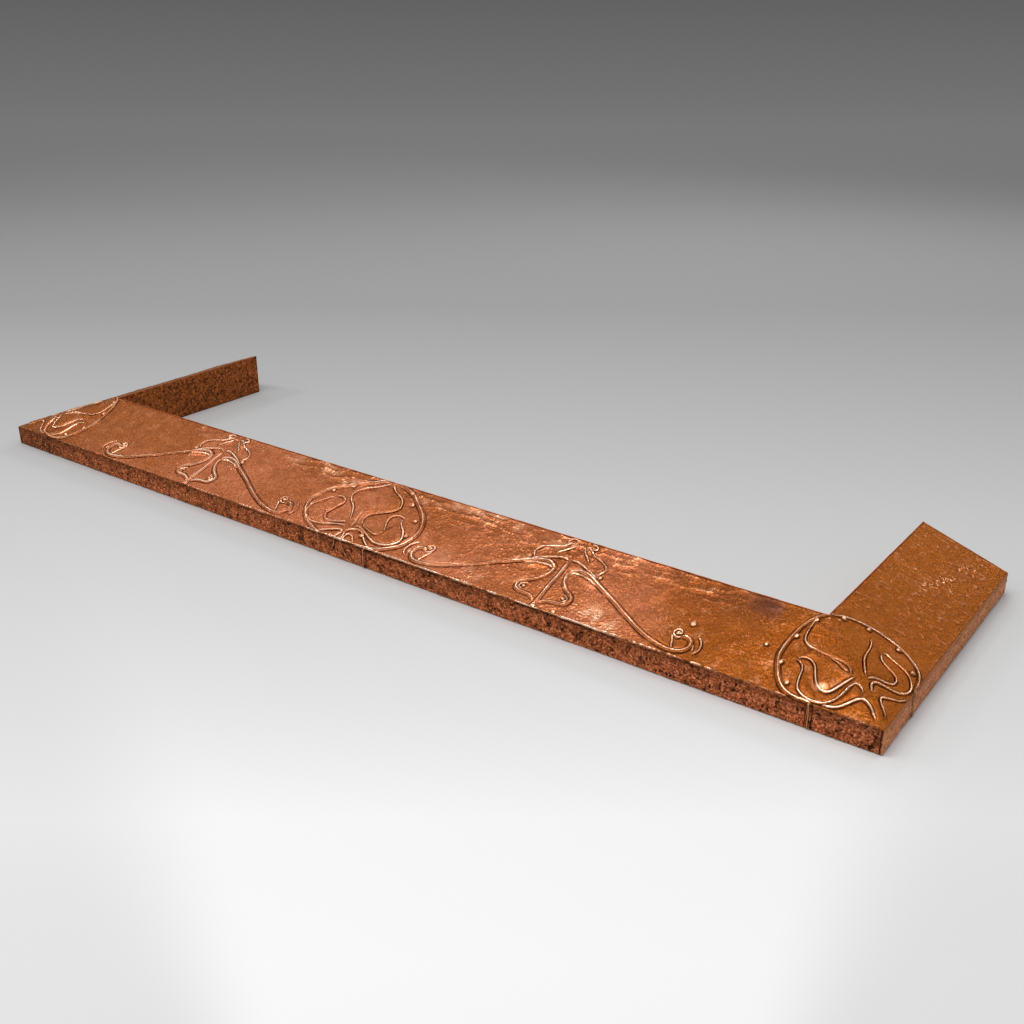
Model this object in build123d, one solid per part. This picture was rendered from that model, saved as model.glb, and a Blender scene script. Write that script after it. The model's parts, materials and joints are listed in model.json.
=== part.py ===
from build123d import *
import math
import os

# Copper-clad hearth fender: a low three-sided kerb that stands on the floor round a hearth.
# Three bevelled timber rails are mitred and dowelled together, tied underneath by iron corner
# straps, and clad in folded sheet copper that is tacked to the underside.
# Frame: +X along the front rail, +Y from the front towards the wall, +Z up.
# The origin is the centre of the footprint on the floor. All sizes are in millimetres.

# Overall sizes
overall_width = 1320.0
overall_depth = 382.0
front_rail_width = 107.0
side_rail_width = 101.0
fascia_height = 27.0
rear_height = 63.0

# Sheet copper
sheet_thickness = 1.0
fold_radius = 2.0
hem_width = 18.0
lip_height = 9.0
lip_rebate_gap = 0.5

# Copper tacks
tack_head_radius = 2.4
tack_shank_radius = 0.9
tack_length = 14.0
tack_point = 3.0
tack_clearance = 0.05
tack_pitch = 72.0
tack_hem_share = 0.55
tack_end_margin = 20.0
end_tack_inset = 12.0

# Corner joints
dowel_radius = 5.0
dowel_length = 60.0
dowel_clearance = 0.05
dowel_end_gap = 1.0
lower_dowel_share = 0.32
upper_dowel_share = 0.70
lower_dowel_height = 19.5
upper_dowel_height = 36.0

# Iron corner straps
strap_thickness = 3.0
strap_width = 25.0
strap_arm_length = 90.0
strap_corner_radius = 4.0
strap_clearance = 0.3
screw_shank_radius = 2.0
screw_head_radius = 4.0
screw_head_depth = 2.2
screw_length = 22.0
screw_point = 5.0
screw_clearance = 0.05
screw_slot_width = 1.0
screw_slot_depth = 0.9
screw_near = 36.0
screw_far = 76.0

# Places worked out from the sizes above
half_width = overall_width / 2
front_y = -overall_depth / 2
rear_y = overall_depth / 2
cut_height = 2 * rear_height


def slope(rail_width):
    """Rise of the sloping face for each millimetre inward."""
    return (rear_height - fascia_height) / rail_width


def sheet_drop(rail_width):
    """Sheet thickness measured straight down through the sloping face."""
    return sheet_thickness * math.hypot(1.0, slope(rail_width))


def outer_height(rail_width, inset):
    """Height of the copper's outer surface at a distance in from the outer face."""
    return fascia_height + slope(rail_width) * inset


def inner_height(rail_width, inset):
    """Height of the copper's inner surface, which lies on the timber."""
    return outer_height(rail_width, inset) - sheet_drop(rail_width)


def section(points, rounds):
    """A face in the rail's section: x is inset from the outer face and y is height.

    rounds maps a corner's place in points to its radius.
    """
    face = make_face(Polyline(*points, close=True))
    for index, radius in rounds.items():
        x, y = points[index]
        corner = face.vertices().sort_by_distance((x, y, 0))[0]
        face = fillet(corner, radius)
    return face


def top_sheet_section(rail_width):
    """Hem under the rail, fascia, sloping face and the lip turned down at the rear."""
    t = sheet_thickness
    rear = rail_width - t
    lip_bottom = outer_height(rail_width, rear) - lip_height
    points = [
        (hem_width, 0),
        (0, 0),
        (0, fascia_height),
        (rear, outer_height(rail_width, rear)),
        (rear, lip_bottom),
        (rear - t, lip_bottom),
        (rear - t, inner_height(rail_width, rear - t)),
        (t, inner_height(rail_width, t)),
        (t, t),
        (hem_width, t),
    ]
    inner_radius = fold_radius - t
    rounds = {1: fold_radius, 2: fold_radius, 3: fold_radius}
    rounds.update({6: inner_radius, 7: inner_radius, 8: inner_radius})
    return section(points, rounds)


def lining_section(rail_width):
    """Upright sheet on the rail's inner face, with a hem turned under the rail."""
    t = sheet_thickness
    points = [
        (rail_width - hem_width, 0),
        (rail_width, 0),
        (rail_width, rear_height),
        (rail_width - t, rear_height),
        (rail_width - t, t),
        (rail_width - hem_width, t),
    ]
    return section(points, {1: fold_radius, 4: fold_radius - t})


def core_section(rail_width):
    """Bevelled timber, eased at the copper's folds and rebated for the lip."""
    t = sheet_thickness
    rear = rail_width - t
    rebate_bottom = outer_height(rail_width, rear) - lip_height - lip_rebate_gap
    points = [
        (t, t),
        (t, inner_height(rail_width, t)),
        (rear - t, inner_height(rail_width, rear - t)),
        (rear - t, rebate_bottom),
        (rear, rebate_bottom),
        (rear, t),
    ]
    inner_radius = fold_radius - t
    return section(points, {0: inner_radius, 1: inner_radius, 2: inner_radius, 5: inner_radius})


def end_section(rail_width):
    """Outline of the whole rail, for the plate that closes its rear end."""
    points = [
        (0, 0),
        (0, fascia_height),
        (rail_width, rear_height),
        (rail_width, 0),
    ]
    return section(points, {0: fold_radius, 1: fold_radius, 3: fold_radius})


def front_plan():
    """Footprint of the front rail between its two mitres."""
    inner_x = half_width - side_rail_width
    inner_y = front_y + front_rail_width
    return [
        (-half_width, front_y),
        (half_width, front_y),
        (inner_x, inner_y),
        (-inner_x, inner_y),
    ]


def side_plan():
    """Footprint of the right side rail from its mitre to the end plate."""
    inner_x = half_width - side_rail_width
    inner_y = front_y + front_rail_width
    end_y = rear_y - sheet_thickness
    return [
        (half_width, front_y),
        (half_width, end_y),
        (inner_x, end_y),
        (inner_x, inner_y),
    ]


def upright(points, height=cut_height):
    """A prism that stands on the floor over a footprint."""
    return extrude(make_face(Polyline(*points, close=True)), height)


def front_rail(rail_section):
    """Carries a section along the front rail and cuts both mitres."""
    plane = Plane(origin=(-half_width, front_y, 0), x_dir=(0, 1, 0), z_dir=(1, 0, 0))
    return extrude(plane * rail_section, overall_width) & upright(front_plan())


def side_rail(rail_section):
    """Carries a section along the right side rail and cuts its mitre."""
    plane = Plane(origin=(half_width, front_y, 0), x_dir=(-1, 0, 0), z_dir=(0, 1, 0))
    return extrude(plane * rail_section, overall_depth) & upright(side_plan())


def end_plate():
    """Flat copper plate on the right side rail's rear end."""
    start_y = rear_y - sheet_thickness
    plane = Plane(origin=(half_width, start_y, 0), x_dir=(-1, 0, 0), z_dir=(0, 1, 0))
    return extrude(plane * end_section(side_rail_width), sheet_thickness)


def tack(clearance=0.0):
    """Countersunk copper tack that points up from its head's face at z = 0."""
    head = Cone(
        tack_head_radius + clearance,
        tack_shank_radius + clearance,
        sheet_thickness,
        align=(Align.CENTER, Align.CENTER, Align.MIN),
    )
    straight = tack_length - tack_point
    shank = Cylinder(
        tack_shank_radius + clearance, straight, align=(Align.CENTER, Align.CENTER, Align.MIN)
    )
    point = Pos(0, 0, straight) * Cone(
        tack_shank_radius + clearance,
        clearance,
        tack_point,
        align=(Align.CENTER, Align.CENTER, Align.MIN),
    )
    return head + shank + point


def spaced(start, end, pitch):
    """Places at an even pitch from start to end, both included."""
    count = max(2, round(abs(end - start) / pitch) + 1)
    return [start + (end - start) * i / (count - 1) for i in range(count)]


def front_fascia_tack_places():
    """Tacks through the front top sheet's hem."""
    inset = hem_width * tack_hem_share
    reach = half_width - inset * side_rail_width / front_rail_width - tack_end_margin
    return [Pos(x, front_y + inset, 0) for x in spaced(-reach, reach, tack_pitch)]


def front_lining_tack_places():
    """Tacks through the front lining's hem."""
    inset = front_rail_width - hem_width * tack_hem_share
    reach = half_width - inset * side_rail_width / front_rail_width - tack_end_margin
    return [Pos(x, front_y + inset, 0) for x in spaced(-reach, reach, tack_pitch)]


def side_fascia_tack_places():
    """Tacks through the right top sheet's hem."""
    inset = hem_width * tack_hem_share
    start = front_y + inset * front_rail_width / side_rail_width + tack_end_margin
    return [
        Pos(half_width - inset, y, 0)
        for y in spaced(start, rear_y - tack_end_margin, tack_pitch)
    ]


def side_lining_tack_places():
    """Tacks through the right lining's hem."""
    inset = side_rail_width - hem_width * tack_hem_share
    start = front_y + inset * front_rail_width / side_rail_width + tack_end_margin
    return [
        Pos(half_width - inset, y, 0)
        for y in spaced(start, rear_y - tack_end_margin, tack_pitch)
    ]


def end_tack_places():
    """Tacks through the end plate into the timber: two low and one high."""
    low_outer = Pos(half_width - end_tack_inset, rear_y, end_tack_inset)
    low_inner = Pos(half_width - side_rail_width + end_tack_inset, rear_y, end_tack_inset)
    high = Pos(
        half_width - side_rail_width + end_tack_inset,
        rear_y,
        outer_height(side_rail_width, side_rail_width - end_tack_inset) - end_tack_inset,
    )
    return [place * Rot(90, 0, 0) for place in (low_outer, low_inner, high)]


def strap_outline(clearance=0.0):
    """L-shaped footprint of the right corner strap, centred on both rails."""
    corner_x = half_width - side_rail_width / 2
    corner_y = front_y + front_rail_width / 2
    half = strap_width / 2 + clearance
    arm = strap_arm_length + clearance
    points = [
        (corner_x + half, corner_y - half),
        (corner_x + half, corner_y + arm),
        (corner_x - half, corner_y + arm),
        (corner_x - half, corner_y + half),
        (corner_x - arm, corner_y + half),
        (corner_x - arm, corner_y - half),
    ]
    outline = make_face(Polyline(*points, close=True))
    tips = [points[1], points[2], points[4], points[5]]
    corners = [outline.vertices().sort_by_distance((x, y, 0))[0] for x, y in tips]
    return fillet(corners, strap_corner_radius)


def strap_blank(clearance=0.0):
    """The strap's plate, or the pocket for it, from the timber's underside up."""
    plate = extrude(strap_outline(clearance), strap_thickness)
    return Pos(0, 0, sheet_thickness) * plate


def screw(clearance=0.0):
    """Countersunk wood screw that points up from its head's face at z = 0."""
    head = Cone(
        screw_head_radius + clearance,
        screw_shank_radius + clearance,
        screw_head_depth,
        align=(Align.CENTER, Align.CENTER, Align.MIN),
    )
    straight = screw_length - screw_point
    shank = Cylinder(
        screw_shank_radius + clearance, straight, align=(Align.CENTER, Align.CENTER, Align.MIN)
    )
    point = Pos(0, 0, straight) * Cone(
        screw_shank_radius + clearance,
        clearance,
        screw_point,
        align=(Align.CENTER, Align.CENTER, Align.MIN),
    )
    return head + shank + point


def slotted_screw():
    """The screw with its driver slot."""
    slot = Box(
        2 * screw_head_radius,
        screw_slot_width,
        screw_slot_depth,
        align=(Align.CENTER, Align.CENTER, Align.MIN),
    )
    return screw() - slot


def screw_places():
    """Two screws along each arm of the right corner strap."""
    corner_x = half_width - side_rail_width / 2
    corner_y = front_y + front_rail_width / 2
    reaches = (screw_near, screw_far)
    along_front = [Pos(corner_x - r, corner_y, sheet_thickness) for r in reaches]
    along_side = [Pos(corner_x, corner_y + r, sheet_thickness) for r in reaches]
    return along_front + along_side


def dowel_places():
    """Centres of the right mitre's two dowels, square to the mitre."""
    turn = math.degrees(math.atan2(side_rail_width, front_rail_width))
    lay_down = Rot(0, 0, turn) * Rot(0, 90, 0)
    steps = ((lower_dowel_share, lower_dowel_height), (upper_dowel_share, upper_dowel_height))
    return [
        Pos(half_width - side_rail_width * share, front_y + front_rail_width * share, height)
        * lay_down
        for share, height in steps
    ]


def placed(places, shape):
    """Copies of a shape, one at each place."""
    return [place * shape for place in places]


def cut(body, tools):
    """The body with every tool taken out of it."""
    for tool in tools:
        body = body - tool
    return body


def mirrored(shapes):
    """The same shapes on the left-hand side."""
    return [mirror(shape, about=Plane.YZ) for shape in shapes]


def save(name, shapes):
    """Writes one node, whose solids stay separate."""
    solids = [solid for shape in shapes for solid in shape.solids()]
    node = solids[0] if len(solids) == 1 else Compound(children=solids)
    export_step(node, f"parts/{name}.step")


def main():
    os.makedirs("parts", exist_ok=True)

    hem_holes = tack(tack_clearance)
    front_fascia_holes = placed(front_fascia_tack_places(), hem_holes)
    front_lining_holes = placed(front_lining_tack_places(), hem_holes)
    side_fascia_holes = placed(side_fascia_tack_places(), hem_holes)
    side_lining_holes = placed(side_lining_tack_places(), hem_holes)
    end_holes = placed(end_tack_places(), hem_holes)
    screw_holes = placed(screw_places(), screw(screw_clearance))
    dowel_hole = Cylinder(dowel_radius + dowel_clearance, dowel_length + 2 * dowel_end_gap)
    dowel_holes = placed(dowel_places(), dowel_hole)
    strap_pocket = strap_blank(strap_clearance)
    corner_tools = [strap_pocket] + screw_holes + dowel_holes

    # Front rail
    front_tools = corner_tools + mirrored(corner_tools)
    front_core = cut(front_rail(core_section(front_rail_width)), front_tools)
    front_core = cut(front_core, front_fascia_holes + front_lining_holes)
    save("front_core", [front_core])
    front_top = front_rail(top_sheet_section(front_rail_width))
    save("front_top_sheet", [cut(front_top, front_fascia_holes)])
    front_lining = front_rail(lining_section(front_rail_width))
    save("front_lining", [cut(front_lining, front_lining_holes)])
    save("front_fascia_tacks", placed(front_fascia_tack_places(), tack()))
    save("front_lining_tacks", placed(front_lining_tack_places(), tack()))

    # Side rails: made for the right and mirrored for the left
    side_core = cut(side_rail(core_section(side_rail_width)), corner_tools + end_holes)
    side_core = cut(side_core, side_fascia_holes + side_lining_holes)
    side_top = cut(side_rail(top_sheet_section(side_rail_width)), side_fascia_holes)
    side_lining = cut(side_rail(lining_section(side_rail_width)), side_lining_holes)
    strap = cut(strap_blank(), screw_holes)
    side_pieces = {
        "core": [side_core],
        "top_sheet": [side_top],
        "lining": [side_lining],
        "end_plate": [cut(end_plate(), end_holes)],
        "fascia_tacks": placed(side_fascia_tack_places(), tack()),
        "lining_tacks": placed(side_lining_tack_places(), tack()),
        "end_tacks": placed(end_tack_places(), tack()),
        "corner_strap": [strap],
        "strap_screws": placed(screw_places(), slotted_screw()),
        "mitre_dowels": placed(dowel_places(), Cylinder(dowel_radius, dowel_length)),
    }
    for piece, shapes in side_pieces.items():
        save(f"right_{piece}", shapes)
        save(f"left_{piece}", mirrored(shapes))


main()
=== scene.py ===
"""Copper-clad hearth fender: the looks of every piece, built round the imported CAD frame.

The three rails are clad in folded sheet copper. Its relief is worked in numpy: beads that follow
drawn lines, puffed leaves between them, pearls, the marks of the planishing hammer and the slow
swell of a sheet that was beaten by hand. Lengths inside the numpy functions are in millimetres
and are turned to metres when a mesh is made.
"""

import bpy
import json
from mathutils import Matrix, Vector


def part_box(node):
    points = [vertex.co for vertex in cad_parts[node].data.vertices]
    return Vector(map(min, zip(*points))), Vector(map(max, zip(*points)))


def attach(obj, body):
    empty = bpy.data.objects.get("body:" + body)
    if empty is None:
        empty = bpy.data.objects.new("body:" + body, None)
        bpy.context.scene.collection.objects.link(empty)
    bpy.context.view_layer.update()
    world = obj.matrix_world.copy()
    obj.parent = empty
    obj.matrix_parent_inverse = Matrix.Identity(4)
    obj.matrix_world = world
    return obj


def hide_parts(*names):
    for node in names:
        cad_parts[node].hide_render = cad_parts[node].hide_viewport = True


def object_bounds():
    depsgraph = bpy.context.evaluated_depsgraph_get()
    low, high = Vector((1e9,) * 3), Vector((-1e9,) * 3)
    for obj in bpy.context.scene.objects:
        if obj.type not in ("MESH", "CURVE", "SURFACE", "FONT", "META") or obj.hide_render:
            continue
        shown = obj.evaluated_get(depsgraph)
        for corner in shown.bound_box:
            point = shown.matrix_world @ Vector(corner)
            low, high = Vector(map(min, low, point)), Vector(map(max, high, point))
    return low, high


bl_info = {
    "name": "Copper hearth fender",
    "version": (1, 0, 0),
    "blender": (4, 5, 0),
    "location": "View3D > Sidebar > Fender",
    "description": "Chased copper skins, linings, finishes and a studio for a hearth fender",
    "category": "Object",
}

import json
import math

import bpy
import numpy as np
from mathutils import Matrix, Vector

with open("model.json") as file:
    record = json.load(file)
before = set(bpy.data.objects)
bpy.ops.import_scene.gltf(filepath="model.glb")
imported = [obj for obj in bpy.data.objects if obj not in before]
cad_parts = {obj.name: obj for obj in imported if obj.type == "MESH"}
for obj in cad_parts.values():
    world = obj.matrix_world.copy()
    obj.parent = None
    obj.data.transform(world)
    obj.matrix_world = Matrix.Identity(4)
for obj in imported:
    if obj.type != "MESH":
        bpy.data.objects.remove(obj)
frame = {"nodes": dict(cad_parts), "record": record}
cad_low, cad_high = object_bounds()

MM = 0.001

# The kerb's own sizes, read from the frame
HALF_WIDTH = cad_high.x / MM
FRONT = cad_low.y / MM
DEPTH = (cad_high.y - cad_low.y) / MM
REAR_HEIGHT = cad_high.z / MM
FRONT_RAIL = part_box("front_lining")[1].y / MM - FRONT
SIDE_RAIL = HALF_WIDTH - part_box("right_lining")[0].x / MM
SIDE_SHARE = SIDE_RAIL / FRONT_RAIL


def linear(code):
    """An sRGB hex colour as linear red, green and blue."""
    parts = [int(code[i : i + 2], 16) / 255 for i in (1, 3, 5)]
    return tuple(c / 12.92 if c <= 0.04045 else ((c + 0.055) / 1.055) ** 2.4 for c in parts)


# ---- Settings ----


def length(name, description, default):
    """A length property in metres, from a default in millimetres."""
    return bpy.props.FloatProperty(
        name=name, description=description, default=default * MM, min=0, unit="LENGTH", precision=5
    )


def power(name, description, default):
    """A light's power in watts."""
    return bpy.props.FloatProperty(
        name=name, description=description, default=default, min=0, unit="POWER"
    )


def angle(name, description, degrees):
    """An angle property, from a default in degrees."""
    return bpy.props.FloatProperty(
        name=name, description=description, default=math.radians(degrees), subtype="ANGLE"
    )


def colour(name, description, code):
    """A colour property from an sRGB hex value."""
    return bpy.props.FloatVectorProperty(
        name=name, description=description, default=linear(code), size=3, min=0, max=1, subtype="COLOR"
    )


class FENDER_PG_sheet(bpy.types.PropertyGroup):
    """Sizes of the folded copper sheet and of its mesh."""

    fascia_height: length("Fascia height", "Height of the upright front band", 27)
    thickness: length("Sheet thickness", "Thickness of the copper", 1)
    fold_radius: length("Fold radius", "Outer radius of each fold", 2)
    hem_width: length("Hem width", "Width of the hem under the rail", 18)
    lip_height: length("Lip height", "Height of the lip turned down at the rear", 9)
    tack_relief: length("Tack relief", "How far the tack heads stand out of the hem", 0.2)
    pitch: length("Grid pitch", "Distance between grid lines on the relief", 0.58)
    hip_rounding: length("Hip rounding", "How softly the two slopes meet at the mitre", 3)


class FENDER_PG_relief(bpy.types.PropertyGroup):
    """Heights of the chased ornament and of the hammer marks."""

    bead_height: length("Bead height", "Height of a thin chased bead", 1.25)
    ring_height: length("Ring height", "Height of the roundels' rings", 1.35)
    leaf_height: length("Leaf height", "How far the leaves are puffed up", 1.9)
    groove_depth: length("Groove depth", "Depth of the line chased at a bead's foot", 0.6)
    dent_pitch: length("Dent pitch", "Distance between planishing marks", 4.2)
    dent_depth: length("Dent depth", "Depth of the deepest planishing marks", 0.5)
    swell: length("Swell", "Slow waviness of the beaten sheet", 0.6)


class FENDER_PG_finish(bpy.types.PropertyGroup):
    """Colours of the finishes."""

    copper: colour("Copper", "Warm aged copper of the slope", "#C9764F")
    # Also carries painted shade: the darker orange towards the right end and on the side rails' slopes
    copper_orange_and_shade: colour("Orange copper", "Lacquered, more orange copper", "#9A5010")
    copper_brown: colour("Brown copper", "Brown bloom on the slope", "#834420")
    # Also painted glints, highlights and sheen: on the hammer marks' rims, along the rear edge, on the
    # crests and on the side rails' fascia
    copper_light_and_sheen: colour("Light copper", "Light flecks of the slope", "#E8A47C")
    # Worn crests, and the painted highlights on the crests, the front fold, the corner's arris, patches of
    # the field and ripples
    copper_wear_and_highlight: colour("Worn copper", "Rubbed crests of the beads", "#FFE8D2")
    # Also the painted shadow under the front fold
    oxide_and_shadow: colour("Oxide", "Dark oxide in the chased lines", "#1E0D06")
    fascia: colour("Fascia copper", "Reddish copper of the upright front band", "#EE8A56")
    # Also the painted shade on the left end of the fascia, and the darkening towards the fascia's top
    fascia_dark_and_shade: colour("Dark fascia copper", "Dark speckle of the upright band", "#5A2C17")
    # Heat stains, and painted shade on the left end of the fascia
    stain_and_shade: colour("Stain", "Purple-brown heat stains", "#5E3428")
    # Paler and pinker on the side rails as a painted sheen; also the light specks of every fascia
    fascia_speckle_and_side_sheen: colour("Side fascia copper", "Paler, pinker copper of the side bands", "#FFB48A")
    lining: colour("Lining copper", "Heat-browned copper of the linings", "#9A5424")
    lining_dark: colour("Dark lining copper", "Darkest brown of the linings", "#45220E")
    timber: colour("Pine", "Sawn pine of the rails", "#B98D5E")
    timber_ring: colour("Pine rings", "Late wood of the pine and flecks of the beech", "#8E5F34")
    dowel: colour("Beech", "Turned beech of the dowels", "#C79E6C")
    iron: colour("Iron", "Black scale on the straps and screws", "#2B2826")
    rust: colour("Rust", "Thin rust on the iron", "#4A2A1A")


class FENDER_PG_stage(bpy.types.PropertyGroup):
    """Floor, lights and camera."""

    key_power: power("Key power", "Strip beside the front rail's mirror line", 6.4)
    rear_power: power("Rear power", "Softbox behind, for the side rails", 6.0)
    top_power: power("Top power", "Softbox overhead", 38.0)
    lamp_power: power("Lamp power", "Each small lamp", 7.0)
    world_strength: bpy.props.FloatProperty(
        name="World", description="Brightness of the grey surroundings", default=0.42, min=0
    )
    azimuth: angle("Azimuth", "Direction of the camera round the fender", 36.332)
    elevation: angle("Elevation", "Height of the camera above the horizon", 23.956)
    roll: angle("Roll", "Tilt of the camera", 0.14)
    distance: length("Distance", "From the camera to the point it looks at", 1527.573)
    lens: bpy.props.FloatProperty(
        name="Lens", description="Focal length in millimetres", default=41.233, min=1
    )


# ---- Ornament ----
#
# Lines lie on the kerb seen from above: x from the middle, y from the front face. A negative y runs
# down the front fascia, and an x past the half width down a side fascia. A bead has its half widths
# from end to end, its height (RING, or a share of a thin bead's), how much further a double bead
# reaches (0 for a single one), the lengths of its two tapers, and its line.

RING = "ring"

# Right corner roundel
CORNER = {
    "ring": ((1.2, 1.3, 1.3, 1.2, 0.6, 0.3, 0.3, 0.6, 1.0), RING, 1.6, (0, 0), [
        (589.2, -27), (589.2, -8), (588, 0.5), (583, 1.8), (574, 1.9), (565, 4.2), (557, 9), (549.5, 18),
        (543.3, 29.3), (538.8, 41), (538, 50), (538.5, 60), (540.5, 74), (543.5, 85.5), (548, 95),
        (553, 101.8), (558.8, 106.8), (564.5, 112), (571, 117.7), (579.5, 122.8), (589, 126.5),
        (598.8, 128.4), (608.6, 128.4), (618.5, 127.4), (628.5, 125.3), (638, 120.6), (646.6, 114.6),
        (653, 107), (657, 97), (658.7, 87), (659.5, 80), (661.5, 76.5), (668, 75.5), (688, 75.5),
    ]),
    "front_petal": ((0.8, 1.0, 1.1, 1.2, 1.2, 1.1), 1, 0, (8, 6), [
        (552, 98), (551, 91), (550.7, 83), (551, 75), (553, 68.2), (557.4, 63.8), (563.7, 60.6),
        (572, 59.1), (580.6, 58), (589, 56.9), (596, 56.2), (601.6, 54.3), (606, 50.5), (609, 46),
    ]),
    "front_fold": ((0.8, 1.1, 1.0), 0.8, 0, (5, 4), [
        (583, 56.5), (589, 54), (594, 51.5), (599, 48.5), (603.5, 46.8), (607.5, 48.5),
    ]),
    "front_inner_leaf": ((0.9, 1.0, 1.1, 1.4, 1.6, 1.2), 1, 0, (4, 5), [
        (556.5, 44.5), (560.5, 46.8), (565.5, 47.5), (571, 45.4), (575.6, 40.5), (579.2, 33), (583.4, 25.5),
        (588.5, 19.8), (594.5, 17.6), (599.5, 19.6), (603, 25), (606.5, 32), (610, 39), (613.5, 45),
    ]),
    "front_outer_leaf": ((1.0, 0.9, 1.1, 1.6, 1.7, 1.4), 1, 0, (3, 6), [
        (556, 43.5), (560.2, 41), (564.2, 37.7), (566.5, 32), (567.6, 25), (569.3, 17), (572.1, 11),
        (577.7, 6.8), (584.8, 4.2), (591.8, 3.6), (598.8, 5), (604.4, 8.9), (608.6, 15.2), (611.4, 23.5),
        (612.9, 30.5), (615, 35.4), (618, 37.6), (621.5, 36.2), (627, 31.5),
    ]),
    "front_sepal": ((1.0, 1.4, 1.6, 1.5, 1.1), 1, 0, (7, 8), [
        (599, 3.4), (604, 3.6), (609.5, 4.8), (614.3, 7.6), (619.9, 14.3), (624.1, 20), (628.3, 23.2),
        (632.5, 23), (638.1, 19.3), (642.3, 14.5), (648, 7.5),
    ]),
    "side_petal": ((0.8, 1.0, 1.1, 1.2, 1.1), 1, 0, (8, 6), [
        (601.5, 112), (605, 105), (607, 97), (607.8, 89), (608.6, 81), (610, 74), (612.5, 67.5),
        (615.5, 61), (619, 55),
    ]),
    "side_inner_leaf": ((0.9, 1.0, 1.1, 1.1, 1.1), 1, 0, (4, 5), [
        (618, 98), (620, 92.3), (623.4, 87.8), (628.3, 84.8), (635.3, 81.8), (640.5, 77.7), (642.8, 72),
        (641.5, 65.8), (636.7, 61.8), (630.4, 59.5), (625.3, 56), (621.5, 51),
    ]),
    "side_outer_leaf": ((0.8, 0.9, 1.0, 1.5, 1.9, 1.4), 1, 0, (5, 6), [
        (617.5, 99), (620.5, 103), (627, 101), (634, 99), (641, 97), (648, 92.5), (653, 85), (656, 77),
        (656, 69.5), (653, 62.5), (647, 57.8), (638.1, 55.3), (631, 53.2), (628.2, 49), (629, 44),
        (632, 38.5),
    ]),
    "side_sepal": ((0.9, 1.2, 1.3, 1.1), 1, 0, (5, 7), [
        (658.5, 59), (656.5, 53.5), (653.4, 48.8), (648, 44.6), (643.3, 40.7), (641.4, 37.5), (643, 32),
        (648, 25.2), (652.2, 19.4), (655, 14.5),
    ]),
}
CORNER_PEARLS = [
    (543.6, 69.3), (544.4, 34.2), (560.2, 13.8), (552, 95.4), (572.5, 114.2), (595.3, 122.8),
    (626.9, 121.2), (649, 100.6),
]

# Spray of two whiplash arms on one stem: x from the stem
SPRAY_PLACES = (-283.5, 277)
SPRAY = {
    "stem": ((2.0, 1.1, 0.9, 0.9, 1.3), 1, 2.0, (0, 5), [
        (0, 1.5), (0, 8), (0, 30), (0.3, 50), (0.3, 62), (0, 70),
    ]),
    "upper_arm": ((1.5, 1.5, 1.2, 1.0), 1, 0, (4, 8), [
        (1.5, 74), (9, 74.3), (16, 72.6), (23, 70), (31, 66.8), (38, 62.6), (46, 58),
    ]),
    "arm": ((1.3, 1.3, 1.2, 1.1, 1.0, 1.0, 1.1, 1.3), 1.1, 1.9, (4, 3), [
        (9.5, 57.5), (13, 61), (19, 64), (27, 64), (35, 61.5), (42, 58), (51, 53.2), (63, 47.2), (73, 42.5),
        (83, 37.3), (93, 31.6), (103, 26.4), (113, 21), (123, 16.4), (133, 12.4), (143, 9.3), (153, 7),
        (162, 6.2), (170, 7.4), (175.8, 11), (178.6, 16.8), (177.6, 22.6), (174, 26.2), (169, 27),
        (165.6, 25.4),
    ]),
    "lower_arm": ((1.0, 1.1, 0.9), 0.7, 0, (4, 6), [
        (12, 57), (17, 59), (24, 59.2), (31, 58), (39, 55.5), (47, 51.5),
    ]),
    "scroll_neck": ((0.9, 1.1, 1.4), 0.9, 0, (3, 3), [(164, 7), (161.8, 12), (158.6, 19), (155.4, 25)]),
    "scroll_head": ((1.1, 1.2, 1.1), 0.9, 0, (3, 3), [
        (165.6, 25), (162.5, 22.8), (158.6, 24), (156, 27.6), (156.8, 31.4), (160.2, 33), (163.8, 31.4),
        (163.2, 28.4), (160.6, 28),
    ]),
    "scroll_rim": ((0.8, 1.2, 1.0), 0.8, 0, (4, 5), [
        (180, 32.5), (184.8, 28.9), (188.4, 23.5), (189.7, 17.1), (188.1, 12.2), (184.3, 9.2),
    ]),
    "scroll_inner": ((0.8, 1.0, 0.8), 0.6, 0, (4, 4), [(181, 21.5), (183.2, 16.5), (183, 12.5)]),
    "loop": ((0.9, 1.0, 1.2, 1.3, 1.2, 1.0), 1, 1.5, (2, 4), [
        (9.6, 58), (9.6, 53), (11, 47.5), (13.8, 42.3), (18.3, 37.4), (23.5, 33.4), (28.8, 30.4),
        (33, 26.6), (34.3, 21.4), (31.6, 17), (26, 15), (20, 14.9), (14, 14.2), (8, 12.2), (3.5, 8.5),
    ]),
    "inner_loop": ((0.8, 1.0, 0.8), 0.7, 0, (3, 3), [
        (22, 27.6), (26, 26.6), (29.4, 24.6), (30.3, 21.6), (28.5, 19.1), (25, 18.3),
    ]),
    "outer_tendril": ((0.9, 1.0, 1.1, 1.5, 1.1), 0.8, 0, (4, 5), [
        (4.5, 98), (9.5, 98.2), (15, 94.6), (20.5, 90.4), (27, 87.6), (33.5, 85.6), (39.5, 82.2),
        (44, 77.5), (45.5, 72.5), (43.8, 68), (40.5, 64.5),
    ]),
    "inner_tendril": ((0.8, 1.1, 1.1), 0.75, 0, (4, 4), [
        (5.5, 96), (8.5, 91), (13.5, 86), (18, 82), (21, 78.6),
    ]),
    "curl": ((1.1, 1.3, 1.0), 0.8, 0, (3, 3), [
        (9, 103), (13, 104), (18, 102), (19, 98.5), (15.5, 97.2), (12.5, 99),
    ]),
}

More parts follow.
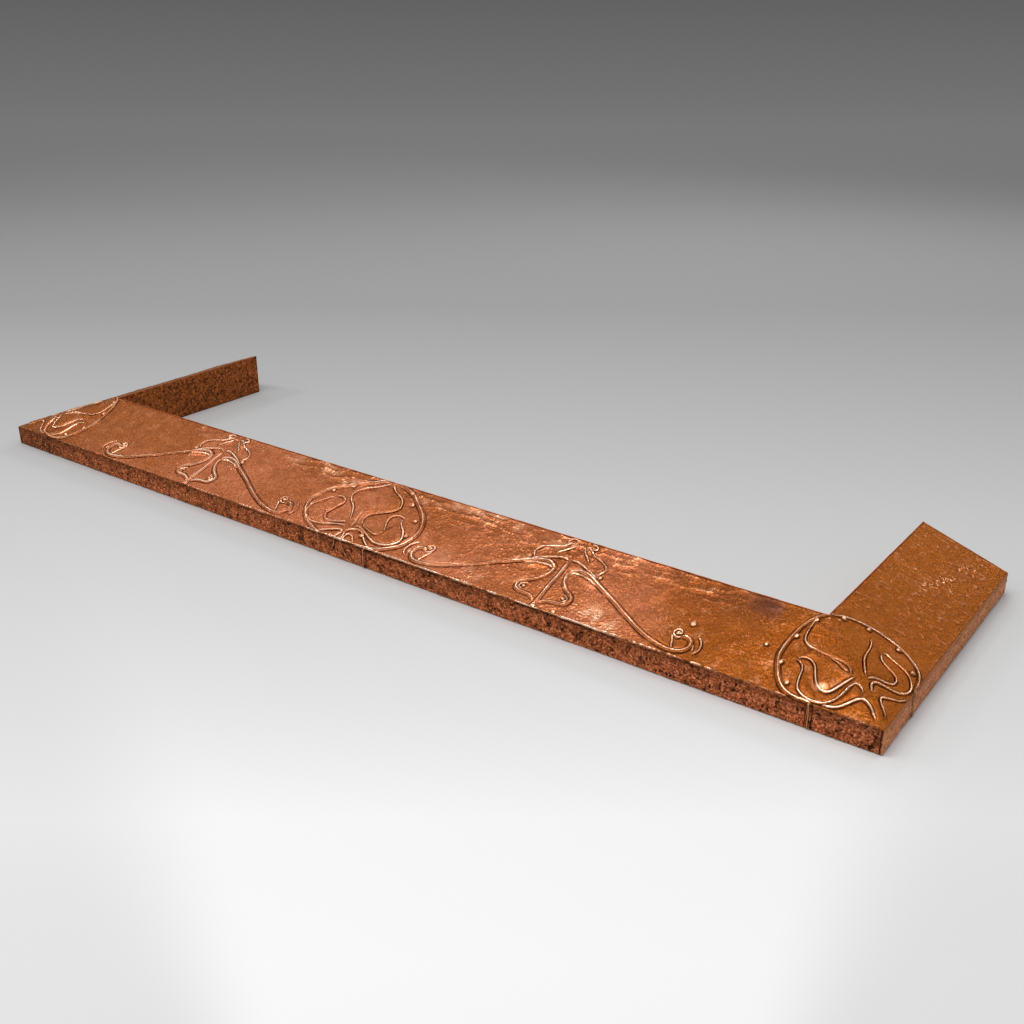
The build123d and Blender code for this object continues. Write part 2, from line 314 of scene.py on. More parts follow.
# Where each arm swells, and pearls on both sides of the stem and at its foot: x, y, radius, height
SPRAY_SWELLING = [(17, 58), (30, 58), (40, 55), (50, 49), (42, 46), (32, 49), (22, 53)]
SPRAY_PEARLS = [(160.5, 28.5, 2.4, 1.6), (46, 63, 2.6, 1.2), (25.6, 22.4, 2.2, 1.2)]
STEM_PEARL = (1, 2.5, 2.6, 1.4)

# Middle roundel
MIDDLE = {
    "right_ring": ((1.2, 1.2, 1.5, 1.5, 1.2), RING, 2.0, (6, 0), [
        (10, 104), (22, 101.2), (33, 96.8), (42, 91), (50, 85), (58, 79.4), (66, 73.4), (72, 67.4),
        (77.5, 60), (81.5, 52.5), (84, 45), (84.5, 37), (83, 29), (80, 21.8), (75, 15.6), (67, 9.8),
        (58, 5.2), (49, 2.2), (41, 1), (37.5, -3), (36.8, -10), (36.8, -27),
    ]),
    "left_ring": ((2.6, 2.4, 1.3, 1.0, 1.1, 1.2, 1.2), RING, 1.7, (4, 0), [
        (-11, 105), (-24, 101.3), (-37, 95.4), (-48, 89.6), (-59, 83), (-69, 75.5), (-77.5, 67), (-84, 58),
        (-88, 48.5), (-89, 40), (-86.5, 31), (-80, 22.5), (-73, 15.8), (-65, 10.6), (-57, 7), (-48, 3.6),
        (-41, 1), (-37.5, -3), (-36.8, -10), (-36.8, -27),
    ]),
    "right_petal": ((1.2, 1.2, 1.3, 1.5, 1.2), 1, 0, (4, 5), [
        (-3, 102), (3, 96), (12, 90.5), (22, 86), (29, 80), (33, 72.5), (32.5, 67), (28, 61.8), (20, 56.6),
        (11, 52), (5, 48), (2.4, 43), (3, 37.5), (5.5, 32),
    ]),
    "left_petal": ((1.1, 1.1, 1.2, 1.3, 1.1), 1, 0, (4, 5), [
        (-7, 102), (-13, 96.5), (-22, 91), (-32, 86), (-39, 79.5), (-42.5, 72), (-41.5, 65.5), (-37, 60),
        (-31, 56), (-26, 51.5), (-21.5, 45.5), (-17.5, 39), (-13.8, 32),
    ]),
    "right_outer_leaf": ((1.0, 1.2, 1.5, 1.7, 1.4, 1.2), 1, 0, (5, 5), [
        (50, 57), (53, 50), (57.5, 45.5), (64, 40.4), (69, 34.2), (72.4, 27.4), (71.8, 21), (66, 15.2),
        (58, 12.2), (50, 11.2), (42, 11.8), (34, 14.4), (26, 18.2), (17, 22.4), (8, 25.4), (0, 24.6),
    ]),
    "right_inner_leaf": ((0.9, 1.0, 1.2, 1.3, 1.1), 0.8, 0, (4, 5), [
        (52.5, 58.5), (44, 59.5), (37, 57.6), (33.8, 52), (34.4, 45), (37.4, 38.5), (40.6, 32.5),
        (40.6, 27), (36.5, 23.6), (30, 23.6), (22, 25.6), (13, 29), (6, 33),
    ]),
    "left_outer_leaf": ((0.9, 1.1, 1.3, 1.3, 1.2), 1, 0, (5, 5), [
        (-62, 58), (-70, 50.5), (-76.5, 42.5), (-80.5, 34.5), (-81, 27), (-77, 19.8), (-69, 14.6),
        (-60, 12.2), (-51, 12), (-42, 13.4), (-34, 15.8), (-26, 18.4), (-18, 20.4), (-10, 20.4),
    ]),
    "left_inner_leaf": ((1.1, 1.5, 1.8, 1.5, 1.2), 1, 0, (4, 5), [
        (-61, 59.5), (-53, 61), (-46, 58.6), (-42.6, 52.5), (-45, 45.8), (-48.8, 38.5), (-51.2, 31.8),
        (-49.4, 25.8), (-44, 22), (-37, 20.6), (-29, 21.8), (-22, 24.4), (-15, 28),
    ]),
    "right_sepal": ((1.0, 1.2, 1.6, 2.0, 1.6), 1, 0, (5, 3), [
        (44, 1.8), (37.5, 4.6), (31, 8.4), (25, 13.2), (19, 18.4), (12.5, 20.8), (6, 19.6), (0, 16.4),
        (-4.5, 12.5),
    ]),
    "left_sepal": ((1.0, 1.4, 1.6, 1.2), 1, 0, (5, 3), [
        (-40, 2), (-34, 4.6), (-28, 7), (-22, 9.2), (-17, 11.6), (-11, 12.6), (-6.5, 11),
    ]),
    "left_root": ((1.2, 1.3, 1.1), 1, 0, (3, 5), [
        (-6, 12), (-7.4, 7), (-9, 2), (-9.6, -3), (-11.5, -10), (-15, -15.5), (-18, -20),
    ]),
    "right_root": ((1.2, 1.3, 1.1), 1, 0, (3, 5), [
        (-3.5, 12), (-1.5, 7), (0.5, 2), (1.2, -3), (3, -10), (7, -16.5), (12, -21),
    ]),
    "knot": ((1.1, 1.4, 1.1), 1, 0, (3, 4), [
        (2.5, 1.5), (2, 6), (4, 9.6), (8, 10.4), (12, 8.4), (15, 5), (18, 2.6),
    ]),
    "crease": ((0.7, 0.9, 0.7), 0.4, 0, (6, 6), [(-8, 52), (-7, 42), (-5, 31), (-3.5, 21)]),
}
MIDDLE_PEARLS = [
    (30, 97.6), (45, 80.4), (68, 58.2), (74.4, 33.6), (21, 14.2), (-52, 81), (-72.6, 66), (-81.4, 35),
]

# How hard each stretch of the front slope was planished: x, strength
PLANISHED = [
    (-660, 0.5), (-430, 0.35), (-350, 0.6), (-180, 0.4), (-120, 0.75), (120, 0.7), (200, 1.0),
    (370, 1.0), (430, 0.55), (500, 0.35), (660, 0.35),
]

# How proud the bead on the front fold stands, and so how strongly the painted highlight on it and the
# painted shadow under it show: x, strength
EDGE_BEAD = [(-660, 0.3), (-330, 0.25), (-110, 0.6), (-60, 0.9), (440, 1.0), (500, 0.45), (660, 0.35)]

# Where the side rails' slopes are rippled most: along the rail, and in from the outer face
RIPPLED = (305, 40)

# Where fine curled ripples cross the side slopes, painted pale as glints: along the rail and in from the
# outer face, at the start and the end of their band, which has this half width
CURLED = ((250, 54), (345, 29))
CURLED_HALF = 9

# Heat stains on the slope, and painted shade on the left end of the fascia (the last three): x, y, radius,
# strength
STAINS_AND_SHADE = [
    (470, 92, 42, 0.25), (497, 99, 17, 0.6), (512, 92, 10, 0.5), (655, 104, 13, 0.45), (395, 99, 12, 0.4),
    (-250, 60, 14, 0.3), (450, 88, 45, 0.2), (-640, -34, 36, 0.9), (-585, -34, 36, 0.7),
    (-530, -34, 34, 0.4),
]

# Painted highlights: where the crests are painted brightest: x, y, radius, how much more
CREST_HIGHLIGHTS = [
    (575, 124, 20, 0.6), (600, 130, 20, 0.6), (626, 128, 20, 0.6), (652, 111, 18, 0.5), (600, 8, 16, 0.5),
    (620, 20, 14, 0.4), (603, 30, 14, 0.4), (636, 48, 14, 0.3), (655, 63, 12, 0.4), (54, 4, 22, 0.5),
    (76, 17, 16, 0.4), (-36, 4, 16, 0.4), (-50, 90, 18, 0.6), (-17, 105, 20, 0.6), (235, 66, 18, 0.5),
    (270, 62, 20, 0.5), (300, 62, 22, 0.5), (240, 26, 24, 0.3), (285, 26, 24, 0.3), (-270, 50, 70, 0.35),
    (-625, 70, 50, 0.45), (-190, 8, 24, 0.45), (-440, 40, 30, 0.4), (110, 14, 20, 0.3), (420, 24, 24, 0.3),
]

# Painted highlights: patches of the field painted paler, and made smoother, where they catch the light: x,
# y, radius, how much
FIELD_HIGHLIGHTS = [
    (344, 15, 20, 0.5), (368, 10, 12, 0.35), (232, 54, 9, 0.8), (221, 55, 7, 0.6), (588, 22, 6, 0.7),
    (-107, 95, 18, 0.35), (-60, 84, 16, 0.35), (126, 104, 15, 0.45), (155, 101, 16, 0.4), (95, 101, 12, 0.3),
    (190, 97, 14, 0.25), (250, 93, 20, 0.2), (345, 99, 12, 0.2), (-170, 102, 18, 0.25), (-330, 90, 24, 0.1),
    (52, 92, 14, 0.25), (610, 40, 8, 0.25), (130, 20, 26, 0.2), (190, 16, 20, 0.2),
]

# The roundels' pearls: radius, and height in the corner and in the middle roundel
PEARL_RADIUS, CORNER_PEARL_HEIGHT, MIDDLE_PEARL_HEIGHT = 2.7, 2.0, 1.9

# Single raised drops: x, y, radius, height
DROPS = [(445, 45, 3.4, 1.1), (522, 49, 2.3, 1.3), (303, 3.5, 3, 1.1)]

# Smooth noises: cell in millimetres and seed
LARGE_PATCHES, SMALL_PATCHES, REAR_PATCHES = (60, 3), (22, 4), (40, 5)
SLOW_SWELL, QUICK_SWELL = (46, 21), (17, 22)
EDGE_WAVE, EDGE_LUMPS, EDGE_GRAIN, EDGE_DRIFT = (23, 31), (6, 32), (2.6, 33), (15, 34)
WEAR_AND_HIGHLIGHT_BREAKUP, SOILING, FIELD_HIGHLIGHT_BREAKUP, CURLING = (16, 51), (9, 52), (7, 53), (6, 55)
LINING_SWELL, LINING_RIPPLE, RIM_NIBBLE, MATTING_DRIFT = (37, 62), (12, 63), (9, 64), (2.4, 15)

# Hammer marks: length and width in millimetres (the first three in shares of their pitch) and seed
ROUND_MARKS, CROSS_MARKS, SMALL_MARKS = (1, 0.85, 11), (0.8, 1.9, 12), (0.6, 0.6, 14)
MATTING, REAR_WAVES, STIPPLE = (3.3, 3.0, 13), (19, 8, 16), (3.4, 3.0, 61)

# A distance in millimetres that is out of reach of every bead
FAR = 9.0

# How far apart in millimetres two rails lie in the pattern of hammer marks, so that they differ
RAIL_APART = 900

# Place along a side rail at which the corner's ornament ends
SIDE_ORNAMENT_END = 132.0

# How much further apart grid lines are on plain stretches, and their pitch in millimetres on the hems
COARSE, HEM_PITCH = 2.5, 4.0


def mirrored(points):
    """The same line on the other side of the fender's middle."""
    return [(-x, y) for x, y in points]


def placed(points, x, side):
    """A line drawn from the spray's stem, set at x, on the right (1) or left (-1) of it."""
    return [(x + side * u, y) for u, y in points]


def ornament_beads(relief):
    """Every bead: half widths, height in millimetres, extra reach if double, tapers and line."""
    thin, ring = relief.bead_height / MM, relief.ring_height / MM
    beads = list(MIDDLE.values())
    for *rest, points in CORNER.values():
        beads += [(*rest, points), (*rest, mirrored(points))]
    for x in SPRAY_PLACES:
        for name, (*rest, points) in SPRAY.items():
            sides = (1,) if name == "stem" else (1, -1)
            beads += [(*rest, placed(points, x, side)) for side in sides]
    return [
        (widths, ring if share == RING else share * thin, gap, taper, np.array(points, float))
        for widths, share, gap, taper, points in beads
    ]


def ornament_leaves(relief):
    """Closed outlines that are puffed up from behind: height, shoulder width and outline."""
    height = relief.leaf_height / MM
    corner, middle = ({name: bead[-1] for name, bead in beads.items()} for beads in (CORNER, MIDDLE))
    leaves = [
        (0.8 * height, 14, middle["left_petal"] + middle["right_petal"][::-1]),
        (0.9 * height, 7, middle["right_outer_leaf"][:13] + middle["right_inner_leaf"][:7:-1]),
        (0.8 * height, 7, middle["left_outer_leaf"][:11] + middle["left_inner_leaf"][:7:-1]),
    ]
    for *rest, outline in (
        (height, 9, corner["front_inner_leaf"] + corner["front_petal"][:5:-1]),
        (0.8 * height, 7, corner["front_outer_leaf"] + corner["front_sepal"][6::-1]),
        (0.6 * height, 9, corner["side_inner_leaf"] + corner["side_petal"][::-1]),
        (0.8 * height, 7, corner["front_sepal"][4:] + corner["side_sepal"][:3:-1]),
    ):
        leaves += [(*rest, outline), (*rest, mirrored(outline))]
    for x in SPRAY_PLACES:
        leaves += [(0.8 * height, 6, placed(SPRAY_SWELLING, x, side)) for side in (1, -1)]
    return leaves


def ornament_pearls():
    """Every pearl and drop: x, y, radius and height."""
    corner = CORNER_PEARLS + mirrored(CORNER_PEARLS)
    pearls = [(x, y, PEARL_RADIUS, CORNER_PEARL_HEIGHT) for x, y in corner]
    pearls += [(x, y, PEARL_RADIUS, MIDDLE_PEARL_HEIGHT) for x, y in MIDDLE_PEARLS]
    for x in SPRAY_PLACES:
        pearls += [(x + side * u, *rest) for u, *rest in SPRAY_PEARLS for side in (1, -1)]
        pearls.append((x + STEM_PEARL[0], *STEM_PEARL[1:]))
    return pearls + DROPS


# ---- Relief: height of the worked copper over its plain folded form ----


def smooth(t):
    """Goes smoothly from 0 to 1 as t does: 3t^2 - 2t^3, held at its ends."""
    t = np.clip(t, 0, 1)
    return t * t * (3 - 2 * t)


def bump(t):
    """A raised cosine: 1 in the middle, 0 from t = 1 out."""
    return 0.5 + 0.5 * np.cos(np.pi * np.clip(np.abs(t), 0, 1))


def spline(points, step=1.0):
    """A Catmull-Rom curve through the points, as points about one step apart."""
    p = np.asarray(points, float)
    p = np.vstack([2 * p[0] - p[1], p, 2 * p[-1] - p[-2]])
    runs = []
    for a, b, c, d in zip(p[:-3], p[1:-2], p[2:-1], p[3:]):
        count = max(2, math.ceil(np.linalg.norm(c - b) / step))
        t = (np.arange(count) / count)[:, None]
        cubic = -a + 3 * b - 3 * c + d
        runs.append(0.5 * (2 * b + (c - a) * t + (2 * a - 5 * b + 4 * c - d) * t**2 + cubic * t**3))
    return np.vstack([*runs, p[-2][None]])


def near(x, y, path, reach):
    """Grid points within reach of a path: their places, distances and places along the path.

    The path is taken a few segments at a time, so that each step reads a small window.
    """
    found, distances, along = [], [], []
    segments = 12
    for start in range(0, len(path) - 1, segments):
        run = path[start : start + segments + 1]
        low, high = run.min(0) - reach, run.max(0) + reach
        window = np.flatnonzero((x > low[0]) & (x < high[0]) & (y > low[1]) & (y < high[1]))
        if not len(window):
            continue
        point = np.stack([x[window], y[window]], 1)[:, None]
        corner, edge = run[:-1], np.diff(run, axis=0)
        t = ((point - corner) * edge).sum(-1) / np.maximum((edge * edge).sum(-1), 1e-9)
        t = np.clip(t, 0, 1)
        distance = np.linalg.norm(point - corner - t[..., None] * edge, axis=-1)
        best = distance.argmin(1)
        rows = np.arange(len(window))
        found.append(window)
        distances.append(distance[rows, best])
        along.append(start + best + t[rows, best])
    if not found:
        return np.zeros(0, int), np.zeros(0), np.zeros(0)
    return np.concatenate(found), np.concatenate(distances), np.concatenate(along)


def lattice(x, y, cell, seed):
    """Smooth value noise from -1 to 1: random values on a square lattice, blended smoothly."""
    u, v = x / cell, y / cell
    i, j = np.floor(u).astype(int), np.floor(v).astype(int)
    table = np.random.default_rng(seed).uniform(-1, 1, (i.max() - i.min() + 2, j.max() - j.min() + 2))
    s, t = smooth(u - i), smooth(v - j)
    i, j = i - i.min(), j - j.min()
    low = table[i, j] * (1 - s) + table[i + 1, j] * s
    high = table[i, j + 1] * (1 - s) + table[i + 1, j + 1] * s
    return low * (1 - t) + high * t


def bowls(x, y, cell_x, cell_y, seed):
    """Hammer marks: the squared distance to the nearest jittered cell centre, about 0 to 1.

    Neighbouring bowls meet in a crease, as planished facets do.
    """
    u, v = x / cell_x, y / cell_y
    i, j = np.floor(u).astype(int), np.floor(v).astype(int)
    i0, j0 = i.min() - 1, j.min() - 1
    jitter = np.random.default_rng(seed).uniform(0.1, 0.9, (i.max() - i0 + 2, j.max() - j0 + 2, 2))
    nearest = np.full(x.shape, np.inf)
    for di in (-1, 0, 1):
        for dj in (-1, 0, 1):
            spot = jitter[i - i0 + di, j - j0 + dj]
            du, dv = i + di + spot[..., 0] - u, j + dj + spot[..., 1] - v
            nearest = np.minimum(nearest, du * du + dv * dv)
    return nearest


def inside(x, y, outline):
    """Which points lie in a closed outline, and how far each is from its edge."""
    crossed = np.zeros(x.shape, bool)
    distance = np.full(x.shape, np.inf)
    for (ax, ay), (bx, by) in zip(outline, np.roll(outline, -1, axis=0)):
        ex, ey = bx - ax, by - ay
        t = np.clip(((x - ax) * ex + (y - ay) * ey) / max(ex * ex + ey * ey, 1e-9), 0, 1)
        distance = np.minimum(distance, np.hypot(x - ax - t * ex, y - ay - t * ey))
        if ay != by:
            crossed ^= ((ay > y) != (by > y)) & (x < ex * (y - ay) / ey + ax)
    return crossed, distance


def chased(x, y, relief):
    """Height of the ornament, how much of a crest each point is, and how much of a recess.

    Beads are rounded over their line, with a groove chased along each foot; a double bead has a
    crease on each side of its crest. Leaves rise as a quarter sine from their outline to their
    shoulder. Pearls are half ellipsoids. The left half was chased with a broader tool.
    """
    x, y = x.ravel(), y.ravel()
    ridge, groove, puffed, crest, between = (np.zeros_like(x) for _ in range(5))
    foot = np.full_like(x, FAR)
    # Painted highlights: at the listed spots the crests are painted brighter and their pale line is wider;
    # elsewhere their paleness is partly wear, partly painted highlight, broken up at random
    bright = sum(k * np.exp(-((x - px) ** 2 + (y - py) ** 2) / r**2) for px, py, r, k in CREST_HIGHLIGHTS)
    rubbed_and_highlit = np.clip(0.72 + 0.5 * lattice(x, y, *WEAR_AND_HIGHLIGHT_BREAKUP) + bright, 0.4, 1)
    soiled = np.clip(0.9 + 0.6 * lattice(x, y, *SOILING), 0.45, 1)
    broad = 1 + 0.5 * smooth((-100 - x) / 160)
    depth = relief.groove_depth / MM
    for width, height, gap, taper, points in ornament_beads(relief):
        path = spline(points)
        spans = np.linalg.norm(np.diff(path, axis=0), axis=1)
        travelled = np.concatenate([[0], np.cumsum(spans)])
        total = travelled[-1]
        widths = np.interp(travelled / total, np.linspace(0, 1, len(width)), width)
        ease = np.ones_like(travelled)
        for gone, stretch in zip((travelled, total - travelled), taper):
            if stretch:
                ease = np.minimum(ease, np.clip(gone / stretch, 0, 1))
        ease = np.sin(ease * np.pi / 2)
        hits, distance, along = near(x, y, path, max(width) + gap + 3)
        if not len(hits):
            continue
        order = np.arange(len(path))
        eased = np.interp(along, order, ease)
        half = np.interp(along, order, widths) * (0.5 + 0.5 * eased)
        rise = height * eased
        crest_half = np.maximum(0.55 * half, 0.88 * broad[hits] + 0.5 * bright[hits])
        shape = np.clip(1 - (distance / (half + gap)) ** 2, 0, 1) ** 0.75
        edge = distance - half - gap
        if gap:
            crease = bump((distance - 0.4 * (half + gap)) / 0.7)
            shape = shape * (1 - 0.4 * crease)
            np.maximum.at(between, hits, eased * crease)
        np.maximum.at(ridge, hits, rise * shape)
        np.maximum.at(crest, hits, eased * rubbed_and_highlit[hits] * bump(distance / crest_half))
        np.minimum.at(foot, hits, np.where(eased > 0.15, edge, FAR))
        np.maximum.at(groove, hits, depth * eased * bump(edge - 0.3))
    for px, py, radius, height in ornament_pearls():
        hits = np.flatnonzero((np.abs(x - px) < radius + 3) & (np.abs(y - py) < radius + 3))
        distance = np.hypot(x[hits] - px, y[hits] - py)
        dome = np.sqrt(np.clip(1 - (distance / radius) ** 2, 0, 1))
        ridge[hits] = np.maximum(ridge[hits], height * dome)
        crest[hits] = np.maximum(crest[hits], 0.7 * dome**2)
        foot[hits] = np.minimum(foot[hits], distance - radius)
        groove[hits] = np.maximum(groove[hits], depth * bump(distance - radius - 0.5))
    for height, shoulder, outline in ornament_leaves(relief):
        edge = spline([*outline, outline[0]], 2.0)[:-1]
        low, high = edge.min(0), edge.max(0)
        hits = np.flatnonzero((x > low[0]) & (x < high[0]) & (y > low[1]) & (y < high[1]))
        within, distance = inside(x[hits], y[hits], edge)
        rise = np.where(within, height * np.sin(np.clip(distance / shoulder, 0, 1) * np.pi / 2), 0)
        puffed[hits] = np.maximum(puffed[hits], rise)
    recess = np.exp(-(((foot - 0.2) / (0.6 * broad)) ** 2)) * (1 - np.clip(ridge / 0.9, 0, 1))
    recess = soiled * np.maximum(recess, 0.8 * between * (1 - crest))
    height = puffed + ridge - groove * (1 - np.clip(ridge / 0.6, 0, 1))
    return height, crest, recess


def hammered(side, along, inset, flat, fascia, relief):
    """Height of the hammer marks and the sheet's swell, and a value for their colour: dirt darkens the
    marks' hollows, while painted glints lighten their rims and painted highlights the ripples along the rear
    edge.

    Marks are deepest in patches and along the rear edge. On the side rails they are struck across
    the rail, and on the fascia they are the small close marks of a matting punch.
    """
    cell, depth = relief.dent_pitch / MM, relief.dent_depth / MM
    x, y = along + RAIL_APART * side, flat

    def struck(long, wide, seed):
        """Marks whose length and width are given in shares of their pitch."""
        return bowls(x, y, long * cell, wide * cell, seed)

    turned = smooth((along - FRONT_RAIL - 15) / 25) if side else np.zeros_like(x)
    stretch = 0.5 if side else np.interp(along, *np.array(PLANISHED).T)
    patch = smooth(0.5 + 0.9 * lattice(x, y, *LARGE_PATCHES) + 0.4 * lattice(x, y, *SMALL_PATCHES))
    rear = smooth((inset - 62) / 36) * (0.6 + 0.5 * lattice(x, y, *REAR_PATCHES)) * (1 - turned)
    rear = rear + turned * np.exp(-(((along - RIPPLED[0]) / 50) ** 2) - ((inset - RIPPLED[1]) / 17) ** 2)
    strength = (0.25 + 0.5 * patch + 0.7 * rear) * stretch + turned
    waves = rear * stretch * (1 - turned) * (bowls(x, y, *REAR_WAVES) - 0.35)
    marks = np.where(turned > 0.5, struck(*CROSS_MARKS), struck(*ROUND_MARKS))
    marks = marks + 0.5 * struck(*SMALL_MARKS)
    matting = bowls(x, y, *MATTING) + 0.7 * lattice(x, y, *MATTING_DRIFT)
    swell = lattice(x, y, *SLOW_SWELL) + (0.8 - 0.5 * turned) * lattice(x, y, *QUICK_SWELL)
    swell = relief.swell / MM * swell
    slope = 2 * depth * strength * (marks - 0.3) + 6.0 * waves + swell
    # Dirt in the marks' hollows; painted glints on their rims and painted highlights along the rear edge's
    # ripples
    hollow_dirt_and_glint = 0.5 + strength * (0.35 - marks) - 3.0 * waves - 0.4 * rear * stretch * (1 - turned)
    hollow_dirt_and_glint = np.where(fascia > 0, 0.5, np.clip(hollow_dirt_and_glint, 0, 1))
    return slope * (1 - fascia) + fascia * (0.9 * (matting - 0.3) + 0.6 * swell), hollow_dirt_and_glint


# ---- Folded sheets ----


def steps(start, end, pitch):
    """Evenly spaced values from start up to, but without, end."""
    count = max(1, round(abs(end - start) / pitch))
    return start + (end - start) * np.arange(count) / count


def arc(centre, radius, start, end, count):
    """Points on an arc in the section, from start up to, but without, end, in degrees."""
    angle = np.radians(start + (end - start) * np.arange(count) / count)
    return np.stack([centre[0] + radius * np.cos(angle), centre[1] + radius * np.sin(angle)], 1)


def level(start, end, pitch, height):
    """Points at one height from start up to, but without, end."""
    inset = steps(start, end, pitch)
    return np.stack([inset, np.full_like(inset, height)], 1)


def upright(start, end, pitch, inset):
    """Points at one inset from the height start up to, but without, end."""
    height = steps(start, end, pitch)
    return np.stack([np.full_like(height, inset), height], 1)


def joined(runs):
    """Runs of section points as one closed outline, and the row at which each run starts."""
    starts = np.cumsum([0] + [len(run) for run in runs])
    return np.vstack(runs), starts


def top_sheet_section(sheet):
    """The folded sheet's closed outline in the front rail's section.

    Rows run from the hem under the rail, up the fascia, up the slope and over the rear fold, and
    then back along the inner face. Gives for each row its inset, its height, its place on the
    flattened sheet (0 at the front top edge), and the shares of the relief that go outward from
    the fascia and upward from the slope.
    """
    t, r = sheet.thickness / MM, sheet.fold_radius / MM
    base, pitch, top = sheet.tack_relief / MM, sheet.pitch / MM, sheet.fascia_height / MM
    hem = sheet.hem_width / MM
    rise = (REAR_HEIGHT - top) / FRONT_RAIL
    lean = math.hypot(1, rise)
    tilt = 90 + math.degrees(math.atan(rise))
    rear = FRONT_RAIL - t
    tight = 0.5 * r
    front_centre = (r, top + rise * r - r * lean)
    rear_centre = (rear - tight, top + rise * (rear - tight) - tight * lean)
    slope = steps(r - r * rise / lean, rear - tight - tight * rise / lean, pitch)
    lip_bottom = top + rise * rear - sheet.lip_height / MM

    def inner(inset):
        """Height of the slope's inner face."""
        return top + rise * inset - t * lean

    inner_face = [
        (rear, lip_bottom), (rear - t, lip_bottom), (rear - t, inner(rear - t) - t),
        (rear - 2 * t, inner(rear - 2 * t)), (2 * t, inner(2 * t)), (t, inner(t) - t),
        (t, base + 2 * t), (2 * t, base + t), (hem, base + t),
    ]
    outline, starts = joined([
        level(hem, r, HEM_PITCH, base),
        arc((r, base + r), r, 270, 180, 4),
        upright(base + r, front_centre[1], 1.25 * pitch, 0),
        arc(front_centre, r, 180, tilt, 5),
        np.stack([slope, top + rise * slope], 1),
        arc(rear_centre, tight, tilt, 0, 4),
        np.array(inner_face),
    ])
    row = np.arange(len(outline))
    inset, height = outline.T
    flat = np.where(row < starts[4], np.minimum(height - top, 0), inset)
    outward = np.interp(row, starts[1:5], [0, 1, 1, 0])
    upward = np.interp(row, starts[3:7], [0, 1, 1, 0])
    return inset, height, flat, outward, upward


def lining_section(sheet):
    """The lining's closed outline: hem, fold, upright face, rounded top edge and inner face.

    Gives for each row its inset, its height, the share of the relief that stands out of it, and how
    near it is to the rim.
    """
    t, r = sheet.thickness / MM, sheet.fold_radius / MM
    base, pitch = sheet.tack_relief / MM, COARSE * sheet.pitch / MM
    hem, inner, half = FRONT_RAIL - sheet.hem_width / MM, FRONT_RAIL - t, 0.5 * t
    outline, starts = joined([
        level(hem, FRONT_RAIL - r, HEM_PITCH, base),
        arc((FRONT_RAIL - r, base + r), r, -90, 0, 4),
        upright(base + r, REAR_HEIGHT - half, pitch, FRONT_RAIL),
        arc((FRONT_RAIL - half, REAR_HEIGHT - half), half, 0, 180, 6),
        np.array([
            (inner, REAR_HEIGHT - half), (inner, base + 2 * t), (inner - t, base + t), (hem, base + t),
        ]),
    ])
    row = np.arange(len(outline))
    share = np.interp(row, [starts[1], starts[2], starts[3] - 1, starts[3] + 1], [0, 1, 1, 0])
    rim = smooth(1 - np.abs(row - starts[3] - 3) / 5.5)
    return *outline.T, share, rim


def placed_on_rail(side, inset, along, height):
    """Points in metres from their inset from a rail's outer face and their place along it.

    side is 0 for the front rail, 1 for the right side rail and -1 for the left one.
    """
    x, y = (side * (HALF_WIDTH - inset), along) if side else (along, inset)
    return np.stack([x, y + FRONT, height], -1) * MM


def corner_dome(u, v):
    """How far inside a corner roundel each point lies, from 0 at its ring to 1."""
    dome = np.zeros(u.size)
    x, y = np.abs(u.ravel()), v.ravel()
    ring = np.array(CORNER["ring"][-1], float)[2:-2]
    hits = np.flatnonzero((x > ring[:, 0].min()) & (y > ring[:, 1].min()) & (y < ring[:, 1].max()))
    ring = np.vstack([ring, [HALF_WIDTH + 1, 0]])
    within, distance = inside(x[hits], y[hits], ring)
    dome[hits] = np.where(within, 1 - np.exp(-distance / 12), 0)
    return dome.reshape(u.shape)


def hip_drop(side, inset, along, k, sheet):
    """How far the two slopes are eased down where they meet at the mitre.

    The smooth minimum of heights a and b lies k/4 (1 - |a - b| / k)^2 below the lower one, where k
    is how softly they meet.
    """
    rise = REAR_HEIGHT - sheet.fascia_height / MM
    if side:
        own, other = inset / SIDE_RAIL, along / FRONT_RAIL
    else:
        own, other = inset / FRONT_RAIL, (HALF_WIDTH - np.abs(along)) / SIDE_RAIL
    return 0.25 * k * np.clip(1 - rise * np.abs(own - other) / k, 0, 1) ** 2


def wavy_edge(along, across):
    """A thin bead along the front fold, strong in the middle and on the right, with beaten lumps."""
    zero = np.zeros_like(along)
    strong = np.interp(along, *np.array(EDGE_BEAD).T)
    wave = 0.75 + 0.35 * lattice(along, zero, *EDGE_WAVE) + 0.35 * lattice(along, zero, *EDGE_LUMPS)
    wave = wave + 0.3 * lattice(along, zero, *EDGE_GRAIN)
    drift = 0.5 * lattice(along, zero, *EDGE_DRIFT)
    return strong * np.clip(wave, 0.1, 1.4) * bump((across - drift) / 1.7)


